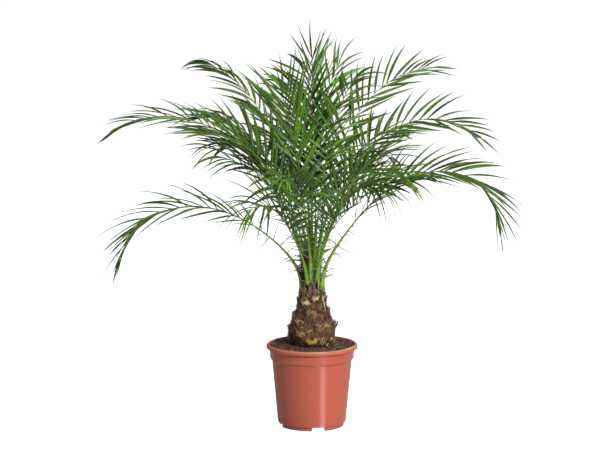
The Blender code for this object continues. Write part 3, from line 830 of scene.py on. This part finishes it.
def make_pot():
    outline = rounded(pot_outline(), POT_CORNER)
    azimuths = pot_azimuths()
    sides, count = len(outline), len(azimuths)
    ring_inside, ring_outside = FOOT_RADIUS - FOOT_THICKNESS - FOOT_MARGIN, WALL_FOOT_RADIUS - FOOT_MARGIN
    sheaf = Sheaf()
    for azimuth in azimuths:
        out, lift = around(azimuth), notch_lift(azimuth)
        for radius, height in outline:
            if ring_inside < radius < ring_outside and height < FOOT_HEIGHT:
                height = max(height, lift)
            sheaf.points.append(out * radius + UP * height)
    for k in range(count):
        low, high = k * sides, (k + 1) % count * sides
        for i in range(sides - 1):
            corners = (low + i, high + i, high + i + 1, low + i + 1)
            sheaf.plain_face(corners, (k / count, i / sides), 0)
    below, inside = range(0, count * sides, sides), range(sides - 1, count * sides, sides)
    for cap in (reversed(below), inside):
        sheaf.plain_face(cap, (0.5, 0.5), 0)
    pot = sheaf.piece("nursery_pot", ["pot"])
    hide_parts("pot")


def soil_point(azimuth, radius, sink):
    """A point on the rough mound, highest at the trunk and lowest at the pot's wall."""
    place = around(azimuth) * radius
    reach = (SOIL_MOUND_RADIUS, SOIL_SLOPE_RADIUS, SOIL_RIM)
    heights = (SOIL_TOP, (SOIL_TOP + SOIL_EDGE_Z) / 2, SOIL_EDGE_Z)
    lumps = noise.noise(place * 140) * 0.0022
    bits = noise.noise(place * 420 + UP * 7) * 0.0012
    return place + UP * (float(np.interp(radius, reach, heights)) - sink + (lumps + abs(bits)))


def soil_wall(radius):
    """How far the soil reaches inside an outer radius of the pot."""
    return radius - WALL_THICKNESS - SOIL_CLEARANCE


def make_soil():
    """The root ball's skin: crumbled above, and smooth where the pot hides it."""
    azimuths = [360 * i / SOIL_STEPS for i in range(SOIL_STEPS)]
    step_z = COLLAR_FOOT_Z - COLLAR_STEP
    rings = []
    for k in range(SOIL_RINGS + 1):
        radius = SOIL_RIM * (0.02 + 0.98 * k / SOIL_RINGS)
        rings.append([soil_point(azimuth, radius, SOIL_SINK) for azimuth in azimuths])
    for radius, height in (
        (soil_wall(COLLAR_RADIUS), POT_HEIGHT - LIP_HEIGHT),
        (soil_wall(COLLAR_RADIUS) - COLLAR_TAPER, COLLAR_FOOT_Z),
        (soil_wall(wall_radius(step_z)), step_z),
        (soil_wall(wall_radius(0.012)), 0.0115),
        (0.031, 0.0113),
    ):
        rings.append([around(azimuth) * radius + UP * height for azimuth in azimuths])
    sheaf = Sheaf()
    sheaf.loft(rings, 0)
    sheaf.faces = [face[::-1] for face in sheaf.faces]
    soil = sheaf.piece("potting_soil", ["earth"])
    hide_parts("soil")


CRUMB_POINTS = ((0, 0, 1), (0.9, 0, 0.1), (0, 0.9, -0.1), (-0.9, 0, 0.1), (0, -0.9, -0.1), (0, 0, -1))
CRUMB_FACES = ((0, 1, 2), (0, 2, 3), (0, 3, 4), (0, 4, 1), (5, 2, 1), (5, 3, 2), (5, 4, 3), (5, 1, 4))


def spot_on_soil(chance):
    """A place on the open ring of soil between the trunk and the pot."""
    inner, outer = OPEN_SOIL
    radius = math.sqrt(chance.uniform(inner**2, outer**2))
    return soil_point(chance.uniform(0, 360), radius, CRUMB_SINK)


def make_crumbs():
    chance = random.Random("crumbs")
    sheaf = Sheaf()
    for _ in range(CRUMB_COUNT):
        size = CRUMB_SIZE + CRUMB_SIZE_SPREAD * chance.random() ** 2.5
        turn = Matrix.Rotation(chance.uniform(0, 6.28), 3, "Z")
        turn = turn @ Matrix.Rotation(chance.uniform(0, 3), 3, "X")
        middle = spot_on_soil(chance)
        first = len(sheaf.points)
        for point in CRUMB_POINTS:
            stretch = [size * chance.uniform(0.6, 1.35) * axis for axis in point]
            sheaf.points.append(middle + turn @ Vector(stretch))
        finish = chance.choice((0, 0, 1))
        for face in CRUMB_FACES:
            sheaf.plain_face((first + i for i in face), (0.5, 0.5), finish)
    crumbs = sheaf.piece("soil_crumbs", ["earth", "crumb"], smooth=False)
    shreds = Sheaf()
    for _ in range(SHRED_COUNT):
        start = spot_on_soil(chance) + UP * CRUMB_SINK
        heading = around(chance.uniform(0, 360)) + UP * chance.uniform(-0.05, 0.25)
        strand(shreds, start, heading, chance.uniform(0.004, 0.013), SHRED_RADIUS, chance, 0, 0.5)
    made = shreds.piece("soil_shreds", ["shred"])


def strand(sheaf, start, heading, length, radius, chance, finish, curl=0.6, steps=4, pull=Vector()):
    """A thin tapering fibre that wanders a little from its heading, and bends the way it is pulled."""
    heading = heading.normalized()
    wander = Vector([chance.uniform(-1, 1) for _ in range(3)]) * curl
    point = start.copy()
    rings = []
    for k in range(steps + 1):
        side = heading.orthogonal().normalized()
        other = heading.cross(side)
        thick = radius * (1.0 - STRAND_TAPER * (k / steps))
        ring = []
        for i in range(3):
            turn = 2 * math.pi * i / 3
            ring.append(point + (side * math.cos(turn) + other * math.sin(turn)) * thick)
        rings.append(ring)
        point = point + heading * (length / steps)
        heading = (heading + (wander + pull) / steps).normalized()
    sheaf.loft(rings, finish)


# Trunk


def trunk_radius(height):
    """The trunk's radius at a height above the soil, on a smooth curve through its outline."""
    heights, radii = zip(*TRUNK_OUTLINE)
    last = len(heights) - 1
    if height <= heights[0]:
        return radii[0]
    for i in range(last):
        if height <= heights[i + 1]:
            break
    span = heights[i + 1] - heights[i]
    t = (height - heights[i]) / span
    slopes = []
    for j in (i, i + 1):
        low, high = max(0, j - 1), min(last, j + 1)
        slopes.append((radii[high] - radii[low]) / (heights[high] - heights[low]) * span)
    square, cube = t * t, t * t * t
    return (
        (2 * cube - 3 * square + 1) * radii[i]
        + (cube - 2 * square + t) * slopes[0]
        + (3 * square - 2 * cube) * radii[i + 1]
        + (cube - square) * slopes[1]
    )


def stub_places():
    """The old leaf bases: those that face the front, then a spiral's where there is room."""
    chance = random.Random("stub places")
    places = list(FRONT_STUBS)
    for index in range(SPIRAL_STEPS):
        azimuth = index * GOLDEN_ANGLE % 360
        height = SPIRAL_FIRST_HEIGHT + index * SPIRAL_PITCH
        gaps = []
        for other in places:
            across = math.radians(turn_between(azimuth, other.azimuth)) * trunk_radius(height)
            gaps.append(math.hypot(across, height - other.height))
        if min(gaps) > STUB_SPACING:
            width = STUB_WIDTH * chance.uniform(0.75, 1.12)
            places.append(Stub(azimuth, height, width, chance.choice(("brown", "brown", "olive", "cream"))))
    return places


STUBS = stub_places()


def bark_relief(azimuth, height, radius):
    """How far the matted surface stands out, from lumps, fibres and the scales below the stubs."""
    fibre = 0.0
    for twist, seed in FIBRE_TWISTS:
        turned = around(azimuth + twist * height) * radius
        place = Vector((turned.x * FIBRES_ACROSS, turned.y * FIBRES_ACROSS, height * FIBRES_ALONG + seed))
        fibre = max(fibre, 1.0 - abs(noise.noise(place)) * 3.2)
    scale = 0.0
    for stub in STUBS:
        across = turn_between(azimuth, stub.azimuth) * math.pi / 180 * radius
        if abs(across) > SCALE_LIMIT:
            continue
        above = height - stub.height
        reach = SCALE_BELOW if above < 0 else SCALE_ABOVE
        scale += SCALE_HEIGHT * math.exp(-((across / SCALE_WIDTH) ** 2) - (above / reach) ** 2)
    lumps = noise.noise((around(azimuth) * radius + UP * height) * LUMPS_A_METRE) * LUMP_HEIGHT
    return lumps + FIBRE_HEIGHT * fibre + scale - BARK_SINK


def make_trunk():
    low, high = TRUNK_OUTLINE[0][0], TRUNK_OUTLINE[-1][0]
    rows = int((high - low) / TRUNK_ROW)
    rings = []
    for k in range(rows + 1):
        height = low + (high - low) * k / rows
        radius = trunk_radius(height)
        ring = []
        for i in range(TRUNK_STEPS):
            azimuth = 360 * i / TRUNK_STEPS
            out = radius + bark_relief(azimuth, height, radius) * min(1.0, radius / FULL_RELIEF)
            ring.append(by_trunk(azimuth, max(0.0003, out), height))
        rings.append(ring)
    sheaf = Sheaf()
    sheaf.loft(rings, 0)
    trunk = sheaf.piece("trunk_bark", ["bark"])
    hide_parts("trunk")


STUB_KINDS = ("yellow", "olive", "cream", "brown")


def make_stub(sheaf, frayed, stub, chance):
    """A broad keeled scale that leans out and ends in a torn, dished cut."""
    width, corners = stub.width, STUB_CORNERS
    outward, side = around(stub.azimuth), around(stub.azimuth + 90)
    lean = turned_by(outward, side, -STUB_LEAN - chance.uniform(-8, 12))
    across = side.cross(lean)
    depth = (0.35 * STUB_DEPTH + 0.42 * width) * chance.uniform(0.80, 1.20)
    surface = by_trunk(stub.azimuth, trunk_radius(stub.height), stub.height)
    stand = STUB_STAND * chance.uniform(0.55, 1.2) * (1.0 if stub in FRONT_STUBS else 0.6)
    skew = chance.uniform(-0.35, 0.35)
    ragged = [chance.uniform(-0.5, 0.5) for _ in range(corners)]
    uneven = [chance.uniform(0.66, 1.18) for _ in range(corners)]
    rings = []
    for up, out, along, wide, deep in STUB_RINGS:
        middle = surface + UP * up + outward * out + lean * (along * stand)
        ring = []
        for corner in range(corners):
            turn = 2 * math.pi * corner / corners
            keel = math.sin(turn)
            offset = side * (math.cos(turn) * width / 2 * wide)
            offset -= across * (keel * abs(keel) ** 0.35 * depth / 2 * deep)
            offset += across * (skew * depth * math.cos(turn) / 2)
            ring.append(middle + offset * uneven[corner])
        rings.append(ring)
    rings[-1] = edge = [point + lean * (STUB_TORN * part) for point, part in zip(rings[-1], ragged)]
    finish = STUB_KINDS.index(stub.finish)
    cut = STUB_KINDS.index(CUT_FINISH.get(stub.finish, "cream"))
    sheaf.loft(rings, finish, caps=False)
    middle = sum(edge, Vector()) / corners
    dish = [[middle + (point - middle) * scale - lean * sink for point in edge] for scale, sink in CUT_RINGS]
    sheaf.loft(dish, cut, caps=False)
    count = len(sheaf.points)
    sheaf.plain_face(range(count - corners, count), (0.5, 0.9), cut)
    for _ in range(STUB_ROOT_STRANDS):
        corner = chance.randrange(corners // 2)
        fan = (corner / (corners // 2 - 1) - 0.5) * chance.uniform(-1.6, -0.8)
        heading = -lean + side * fan + outward * chance.uniform(0.0, 0.5)
        strand(sheaf, edge[corner], heading, chance.uniform(0.004, 0.009), 0.0005, chance, finish, 0.3)
    for _ in range(STUB_EDGE_STRANDS):
        start = chance.choice(edge) - lean * 0.001
        heading = lean + side * chance.uniform(-0.7, 0.7) + outward * chance.uniform(-0.2, 0.5)
        length = chance.uniform(0.003, 0.008)
        strand(frayed, start, heading, length, STUB_STRAND_RADIUS, chance, chance.choice((0, 1)))
    for _ in range(STUB_CROSS_HAIRS):
        start = chance.choice(edge)
        heading = (middle - start).normalized() + UP * chance.uniform(-0.6, 0.9)
        length = chance.uniform(0.4, 0.9) * width
        strand(frayed, start + lean * 0.0008, heading, length, STUB_STRAND_RADIUS, chance, 2, 0.5)


def make_stubs():
    """Old leaf bases, with fibre round their cuts and strips that have torn loose."""
    chance = random.Random("stubs")
    sheaf, frayed = Sheaf(), Sheaf()
    for stub in STUBS:
        make_stub(sheaf, frayed, stub, chance)
    for torn in TORN_STRIPS:
        start = by_trunk(torn.azimuth, trunk_radius(torn.height) + torn.stand, torn.height)
        heading = UP * torn.up + around(torn.azimuth) * torn.out
        pull = UP * torn.curl
        strand(frayed, start, heading, torn.length, torn.radius, chance, torn.finish, 0.1, 8, pull)
    stubs = sheaf.piece("leaf_base_stubs", STUB_KINDS)
    fringe = frayed.piece("leaf_base_fringe", ["hair", "pale_hair", "dark_hair"])


def make_hair():
    """Fibre over the trunk and its neck: most lies flat and crosses, and some stands out."""
    chance = random.Random("hair")
    sheaf = Sheaf()
    for number in range(FLAT_HAIRS + LOOSE_HAIRS + NECK_HAIRS):
        loose = FLAT_HAIRS <= number < FLAT_HAIRS + LOOSE_HAIRS
        at_neck = number >= FLAT_HAIRS + LOOSE_HAIRS
        height = chance.uniform(*(NECK_HEIGHTS if at_neck else HAIR_HEIGHTS))
        radius = trunk_radius(height)
        azimuth = chance.uniform(0, 360)
        out, across = around(azimuth), around(azimuth + 90)
        if not at_neck and noise.noise((out * radius + UP * height) * 75) > BARE_ABOVE:
            continue
        stand = bark_relief(azimuth, height, radius) if not at_neck else 0.0
        slant = chance.choice((-1, 1)) * chance.uniform(0.2, 1.9)
        if loose:
            lift, length, thick = chance.uniform(0.25, 1.2), chance.uniform(0.005, 0.014), 0.00040
            heading = UP * chance.choice((1, 1, 0.6, -0.5)) + across * slant + out * lift
        elif at_neck:
            lift, thick = chance.uniform(0.0, 0.22), 0.00050
            length = chance.uniform(*((0.006, 0.014) if height < SHORT_BELOW else (0.012, 0.034)))
            heading = UP + across * (slant * 0.12) + out * lift
        else:
            lift, length, thick = 0.0, chance.uniform(0.006, 0.019), chance.uniform(0.00030, 0.00062)
            heading = UP * chance.choice((1, 1, 1, -1)) + across * slant
        start = by_trunk(azimuth, radius + stand + 0.0002, height)
        pull = out * (-0.8 * lift - (0.0 if at_neck else 0.12))
        finish = chance.choice((0, 1, 2, 2, 2) if at_neck else (0, 0, 0, 0, 1, 2, 2, 2))
        strand(sheaf, start, heading, length, thick, chance, finish, 0.8, 5, pull)
    hair = sheaf.piece("trunk_hair", ["hair", "pale_hair", "dark_hair"])


def add_sheath(sheaf, chance, azimuth, reach, breadth, low, top, frayed):
    """A torn skin of matted fibre that curves round the outside of a stalk's foot."""
    out, side = around(azimuth), around(azimuth + 90)
    centre = out * (reach - breadth * 0.40)
    last = SHEATH_COLUMNS - 1
    tops = []
    for i in range(SHEATH_COLUMNS):
        middle = 1.0 - abs(2 * i / last - 1)
        tops.append(top * (0.45 + 0.55 * middle**0.7) * chance.uniform(0.55, 1.15))
    rings = []
    for step in range(SHEATH_STEPS + 1):
        share = step / SHEATH_STEPS
        outer, inner = [], []
        for i in range(SHEATH_COLUMNS):
            turn = math.pi * (i / last - 0.5) * 1.25
            rough = 1.0 + 0.12 * share + 0.12 * noise.noise(Vector((i * 0.9, azimuth, share * 3)))
            for ring, skin in ((outer, 0.0012), (inner, 0.0004)):
                round_it = (breadth * 0.55 + skin) * rough
                spot = centre + out * (math.cos(turn) * round_it * 0.9) + side * (math.sin(turn) * round_it)
                ring.append(spot + UP * (low + tops[i] * share))
        rings.append(outer + inner[::-1])
    sheaf.loft(rings, 0)
    for _ in range(frayed):
        start = rings[chance.choice((1, 2, 3, 4, 5, 5, 5))][chance.randrange(SHEATH_COLUMNS)]
        heading = UP + out * chance.uniform(-0.2, 0.25) + side * chance.uniform(-0.45, 0.45)
        length = chance.uniform(0.005, 0.019)
        strand(sheaf, start, heading, length, 0.00045, chance, chance.choice((1, 2, 2, 3)))


def make_sheaths():
    """Torn brown sheaths round the feet of the stalks, old ones between them, and tufts of fibre, the dark
    tuft partly painted shade.
    """
    chance = random.Random("sheaths")
    sheaf = Sheaf()
    for frond in FRONDS:
        tier = TIERS[frond.tier]
        if tier.neck:
            reach = tier.neck + tier.thickness
            low = TRUNK_BASE_Z + tier.ledge - SHEATH_SINK
            add_sheath(sheaf, chance, frond.azimuth, reach, tier.width, low, SHEATH_TOP, SHEATH_STRANDS)
    for old in OLD_SHEATHS:
        low = TRUNK_BASE_Z + TIERS[1].ledge - OLD_SHEATH_SINK
        add_sheath(sheaf, chance, old.azimuth, old.reach, old.breadth, low, old.top, OLD_SHEATH_STRANDS)
    # the dark tuft at the stalks' front left is partly painted shade: its near-black hairs stand where the
    # stalk bundle lies in shade
    for number in range(TUFT_HAIRS):
        azimuth = chance.gauss(TUFT_AZIMUTH, TUFT_SPREAD)
        start = by_trunk(azimuth, chance.uniform(*TUFT_RADII), chance.uniform(*TUFT_HEIGHTS))
        out, side = around(azimuth), around(azimuth + 90)
        heading = UP + out * chance.uniform(-0.15, 0.30) + side * chance.uniform(-0.25, 0.25)
        strand(sheaf, start, heading, chance.uniform(0.014, 0.040), 0.00055, chance, 3 if number % 6 else 1)
    for _ in range(CROSS_HAIRS):
        azimuth = chance.uniform(0, 360)
        start = by_trunk(azimuth, chance.uniform(*CROSS_RADII), chance.uniform(*CROSS_HEIGHTS))
        heading = around(azimuth + chance.choice((80, -80))) + UP * chance.uniform(-0.3, 0.6)
        strand(sheaf, start, heading, chance.uniform(0.010, 0.024), 0.00050, chance, 2, 0.7)
    made = sheaf.piece("stalk_sheaths", ["sheath", "hair", "pale_hair", "dark_hair"])


# Fronds

Station = namedtuple("Station", "along point ahead side up")


def rib_foot(frond):
    """Where a stalk stands: on its tier's ledge, just clear of the neck."""
    tier = TIERS[frond.tier]
    radius = tier.neck + STALK_GAP + tier.thickness / 2 if tier.neck else 0.0
    return around(frond.azimuth) * radius + UP * (TRUNK_BASE_Z + tier.ledge + STALK_GAP)


def rib_stations(frond):
    """The rib leaves the neck upright, flares out to its rise and droops towards its tip."""
    step = frond.length / PATH_STEPS
    point = rib_foot(frond)
    stations = []
    for i in range(PATH_STEPS + 1):
        share = i / PATH_STEPS
        rise = frond.rise + (90 - frond.rise) * math.exp(-((i * step / FLARE) ** 2))
        rise = math.radians(rise - frond.droop * share**frond.late)
        ahead = around(frond.azimuth) * math.cos(rise) + UP * math.sin(rise)
        if i % STATION_EVERY == 0:
            side = turned_by(around(frond.azimuth + 90), ahead, frond.roll * min(1, share * 3))
            stations.append(Station(share, point.copy(), ahead, side, ahead.cross(side)))
        point = point + ahead * step
    return stations


def between(stations, along):
    """The station at a share of the rib's length."""
    for low, high in zip(stations, stations[1:]):
        if along <= high.along:
            part = (along - low.along) / (high.along - low.along)
            point, *ways = [a.lerp(b, part) for a, b in zip(low[1:], high[1:])]
            return Station(along, point, *(way.normalized() for way in ways))
    return stations[-1]


def rib_size(frond, along):
    """Width and thickness of the rib: a broad stalk foot that narrows fast, then a long taper."""
    tier = TIERS[frond.tier]
    share = STALK_SHARE * math.exp(-along / STALK_FOOT) + (1 - STALK_SHARE) * (1 - along)
    swell = smooth_step(along / 0.03) * (1.0 - smooth_step((along - 0.08) / 0.24))
    fuller = 1.0 + STALK_SWELL[frond.tier] * swell
    width = RIB_TIP_WIDTH + (tier.width - RIB_TIP_WIDTH) * share
    thickness = RIB_TIP_THICKNESS + (tier.thickness - RIB_TIP_THICKNESS) * share
    return width * fuller, thickness * fuller


def make_rib(sheaf, frond, stations):
    rings = []
    foot = stations[0]
    buried = foot._replace(point=foot.point - foot.ahead * RIB_BURIED)
    for station in [buried] + stations:
        width, thickness = rib_size(frond, station.along)
        ring = []
        for across, up in RIB_SECTION:
            ring.append(station.point + station.side * (width * across) + station.up * (thickness * up))
        rings.append(ring)
    sheaf.loft(rings, 0)


def leaflet_length(frond, share):
    """Share 0 is the lowest leaflet of the frond and 1 the one at its tip."""
    low, span = LEAFLET_PROFILE
    full = frond.leaf * (0.30 + 0.70 * math.sin(math.pi * (low + span * share)))
    return full * (LOWEST_LEAFLET + (1 - LOWEST_LEAFLET) * min(1.0, share / LOW_LEAFLETS))


def leaflet_width(frond, share):
    """Narrower on the outer fronds, and towards the foot and the tip of each."""
    widest = OUTER_WIDTH if frond.tone == "outer" else LEAFLET_WIDTH
    return widest * (FOOT_WIDTH + (1 - FOOT_WIDTH) * smooth_step(share * 3.6))


def leaflet_breadth(t):
    """Width along a leaflet as a share of its widest: a narrow root and a long needle point."""
    if t < LEAFLET_WIDEST:
        return 0.42 + 0.58 * smooth_step(t / LEAFLET_WIDEST)
    return max(0.03, 1.0 - ((t - LEAFLET_WIDEST) / (1 - LEAFLET_WIDEST)) ** 1.7)


def blade_ring(point, wide, face, width, fold, keel):
    """Left edge, left half, midrib, right half, right edge and the keel below."""
    lean = math.radians(fold)
    ring = []
    for part in (-0.5, -0.25, 0.0, 0.25, 0.5):
        rise = abs(part) * math.sin(lean) - (0.035 if abs(part) == 0.25 else 0.0)
        ring.append(point + wide * (width * part * math.cos(lean)) + face * (width * rise))
    ring.append(point - face * keel)
    return ring


def raised_side(root, hand, raised):
    """The way out from a rib to one hand, raised by an angle in degrees."""
    raised = math.radians(raised)
    return root.side * (hand * math.cos(raised)) + root.up * math.sin(raised)


def make_leaflet(sheaf, frond, root, hand, share, angle, length, width, tone, chance):
    """A folded blade that starts at an angle to the rib, sweeps forward and sags."""
    lift = chance.uniform(-LIFT_SPREAD, LIFT_SPREAD)
    across = raised_side(root, hand, frond.lift + (frond.lift_tip - frond.lift) * share + lift)
    droop = frond.sag * chance.uniform(0.75, 1.3)
    twist = chance.uniform(-TWIST_SPREAD, TWIST_SPREAD)
    point = root.point.copy()
    rings = []
    for k in range(LEAFLET_RINGS + 1):
        t = k / LEAFLET_RINGS
        opening = math.radians(angle) * (LEAFLET_OPEN - LEAFLET_SWEEP * t)
        heading = root.ahead * math.cos(opening) + across * math.sin(opening)
        level = heading.cross(DOWN)
        heading = turned_by(heading, level.normalized(), droop * level.length * 1.5 * t**1.1)
        wide = (root.ahead - heading * root.ahead.dot(heading)).normalized()
        wide = turned_by(wide, heading, twist * t)
        face = wide.cross(heading) * hand
        fold, keel = LEAFLET_FOLD * (1.25 - 0.5 * t), LEAFLET_KEEL * (1.1 - t)
        rings.append(blade_ring(point, wide * hand, face, width * leaflet_breadth(t), fold, keel))
        point = point + heading * (length / LEAFLET_RINGS)
    sheaf.loft(rings, LEAFLET_FINISHES.index(tone), underside=(BLADE_EDGE, UNDERSIDE))


def make_stalk(frond, stations):
    """The rib, with spines on its lower part that are fewer and shorter where they face the front or back."""
    chance = random.Random("spines " + frond.name)
    stalk = Sheaf()
    make_rib(stalk, frond, stations)
    sideways = abs(math.cos(math.radians(frond.azimuth)))
    along, hand = SPINE_FROM, 1
    while along < LEAFY_FROM + 0.01:
        length = SPINE_LENGTH * chance.uniform(0.40, 1.0) * (0.45 + 0.55 * sideways)
        root = between(stations, along)
        across = raised_side(root, hand, chance.uniform(-75, 75))
        angle = math.radians(chance.uniform(60, 100))
        heading = root.ahead * math.cos(angle) + across * math.sin(angle)
        strand(stalk, root.point, heading, length, SPINE_RADIUS, chance, 1, 0.35, 5)
        along += SPINE_EVERY / frond.length * chance.uniform(0.7, 1.5) * (2.4 - 1.4 * sideways)
        hand = -hand
    return stalk.piece("stalk_" + frond.name, ["stalk", "spine"])


def make_blades(frond, stations):
    chance = random.Random(frond.name)
    blades = Sheaf()
    # painted light and shade: front fronds are dealt bright greens and back and inner ones deep greens, mixed
    # with the leaves' own variety
    tones = TONE_DEAL_WITH_PAINTED_LIGHT_AND_SHADE[frond.tone]
    count = round(LEAFLETS_A_SIDE * (frond.length / 0.5) ** 0.5)
    step = (1 - LEAFY_FROM) / count
    for row in range(count):
        for hand in (-1, 1):
            place = row + 0.5 + ROW_STAGGER * hand + chance.uniform(-PLACE_SPREAD, PLACE_SPREAD)
            along = LEAFY_FROM + step * max(0.0, place)
            share = (along - LEAFY_FROM) / (1 - LEAFY_FROM)
            length = leaflet_length(frond, share) * chance.uniform(1 - LENGTH_SPREAD, 1 + LENGTH_SPREAD)
            width = leaflet_width(frond, share) * chance.uniform(0.65, 1.15)
            width *= 1.0 - TIP_NARROWING * smooth_step((share - TIP_FROM) / (1 - TIP_FROM))
            tone = chance.choice(tones)
            angle = frond.spread + (frond.close - frond.spread) * share**0.85
            angle += chance.uniform(-TURN_SPREAD, TURN_SPREAD)
            root = between(stations, along)
            make_leaflet(blades, frond, root, hand, share, angle, length, width, tone, chance)
    end = (END_ANGLE, END_BLADE_LENGTH, END_BLADE_WIDTH, tones[0])
    make_leaflet(blades, frond, stations[-1], 1, 1.0, *end, chance)
    return blades.piece("leaflets_" + frond.name, LEAFLET_FINISHES, sharp=SHARP_FOLD)


def make_frond(frond):
    stations = rib_stations(frond)
    nodes = ["frond_" + frond.name]
    if frond.solids == 2:
        nodes.append("frond_" + frond.name + "_tip")
    for piece in (make_stalk(frond, stations), make_blades(frond, stations)):
        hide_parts(*nodes)


# Floor, light and camera


def point_at(made, place, target):
    made.location = place
    made.rotation_euler = (Vector(target) - Vector(place)).to_track_quat("-Z", "Y").to_euler()


def soft_light(lamp):
    light = bpy.data.lights.new(lamp.name, "AREA")
    light.shape = "RECTANGLE"
    light.size = lamp.width
    light.size_y = lamp.height
    light.energy = lamp.power
    point_at(add_object(lamp.name, light), lamp.place, LAMP_TARGET)


def mirrored_on_floor(height, across):
    """Where on the floor the camera sees itself look, by way of the pot's wall at a height."""
    lean = (wall_radius(COLLAR_FOOT_Z) - WALL_FOOT_RADIUS) / (COLLAR_FOOT_Z - FOOT_HEIGHT)
    radius = wall_radius(height)
    azimuth = 270 + math.degrees(math.asin(across / radius))
    spot = around(azimuth) * radius + UP * height
    normal = (around(azimuth) - UP * lean).normalized()
    sight = (spot - EYE).normalized()
    sight = sight - normal * (2 * sight.dot(normal))
    return spot + sight * ((spot.z - PANEL_LIFT) / -sight.z)


def make_panel():
    """A strip of light on the floor, hidden from the camera, that the wall shows as an upright band."""
    sheaf = Sheaf()
    shares = [k / PANEL_STEPS for k in range(PANEL_STEPS + 1)]
    for share in shares:
        height = PANEL_LOW + (PANEL_HIGH - PANEL_LOW) * share
        sheaf.points += [mirrored_on_floor(height, across) for across in (PANEL_LEFT, PANEL_RIGHT)]
    for k, (near, far) in enumerate(zip(shares, shares[1:])):
        places = ((0, near), (1, near), (1, far), (0, far))
        sheaf.face((2 * k, 2 * k + 1, 2 * k + 3, 2 * k + 2), places, 0)
    panel = sheaf.thing("floor_panel", ["panel"], smooth=False)
    panel.visible_camera = False
    panel.visible_diffuse = False
    panel.visible_shadow = False


def make_stage():
    ground, reach = Sheaf(), FLOOR_REACH
    ground.points = [(-reach, -reach, 0), (reach, -reach, 0), (reach, reach, 0), (-reach, reach, 0)]
    ground.plain_face(range(4), (0.5, 0.5), 0)
    floor = ground.thing("pale_floor", ["floor"], smooth=False)
    make_panel()
    world = bpy.data.worlds.new("pale_room")
    bpy.context.scene.world = world
    world.use_nodes = True
    air = world.node_tree.nodes["Background"].inputs
    feed(world.node_tree, air["Color"], (1.0, 1.0, 1.0))
    feed(world.node_tree, air["Strength"], for_camera(world.node_tree, ROOM_LIGHT, 1.0))
    for lamp in LAMPS:
        soft_light(lamp)
    bpy.context.scene.view_settings.view_transform = "Standard"


def make_camera():
    camera = bpy.data.cameras.new("camera")
    camera.sensor_width = SENSOR
    camera.lens = SENSOR * (AIM - EYE).length / FRAME_WIDTH
    made = add_object("camera", camera)
    point_at(made, EYE, AIM)
    bpy.context.scene.camera = made


def main():
    make_camera()
    make_stage()
    make_pot()
    make_soil()
    make_crumbs()
    make_trunk()
    make_stubs()
    make_hair()
    make_sheaths()
    for frond in FRONDS:
        make_frond(frond)


main()
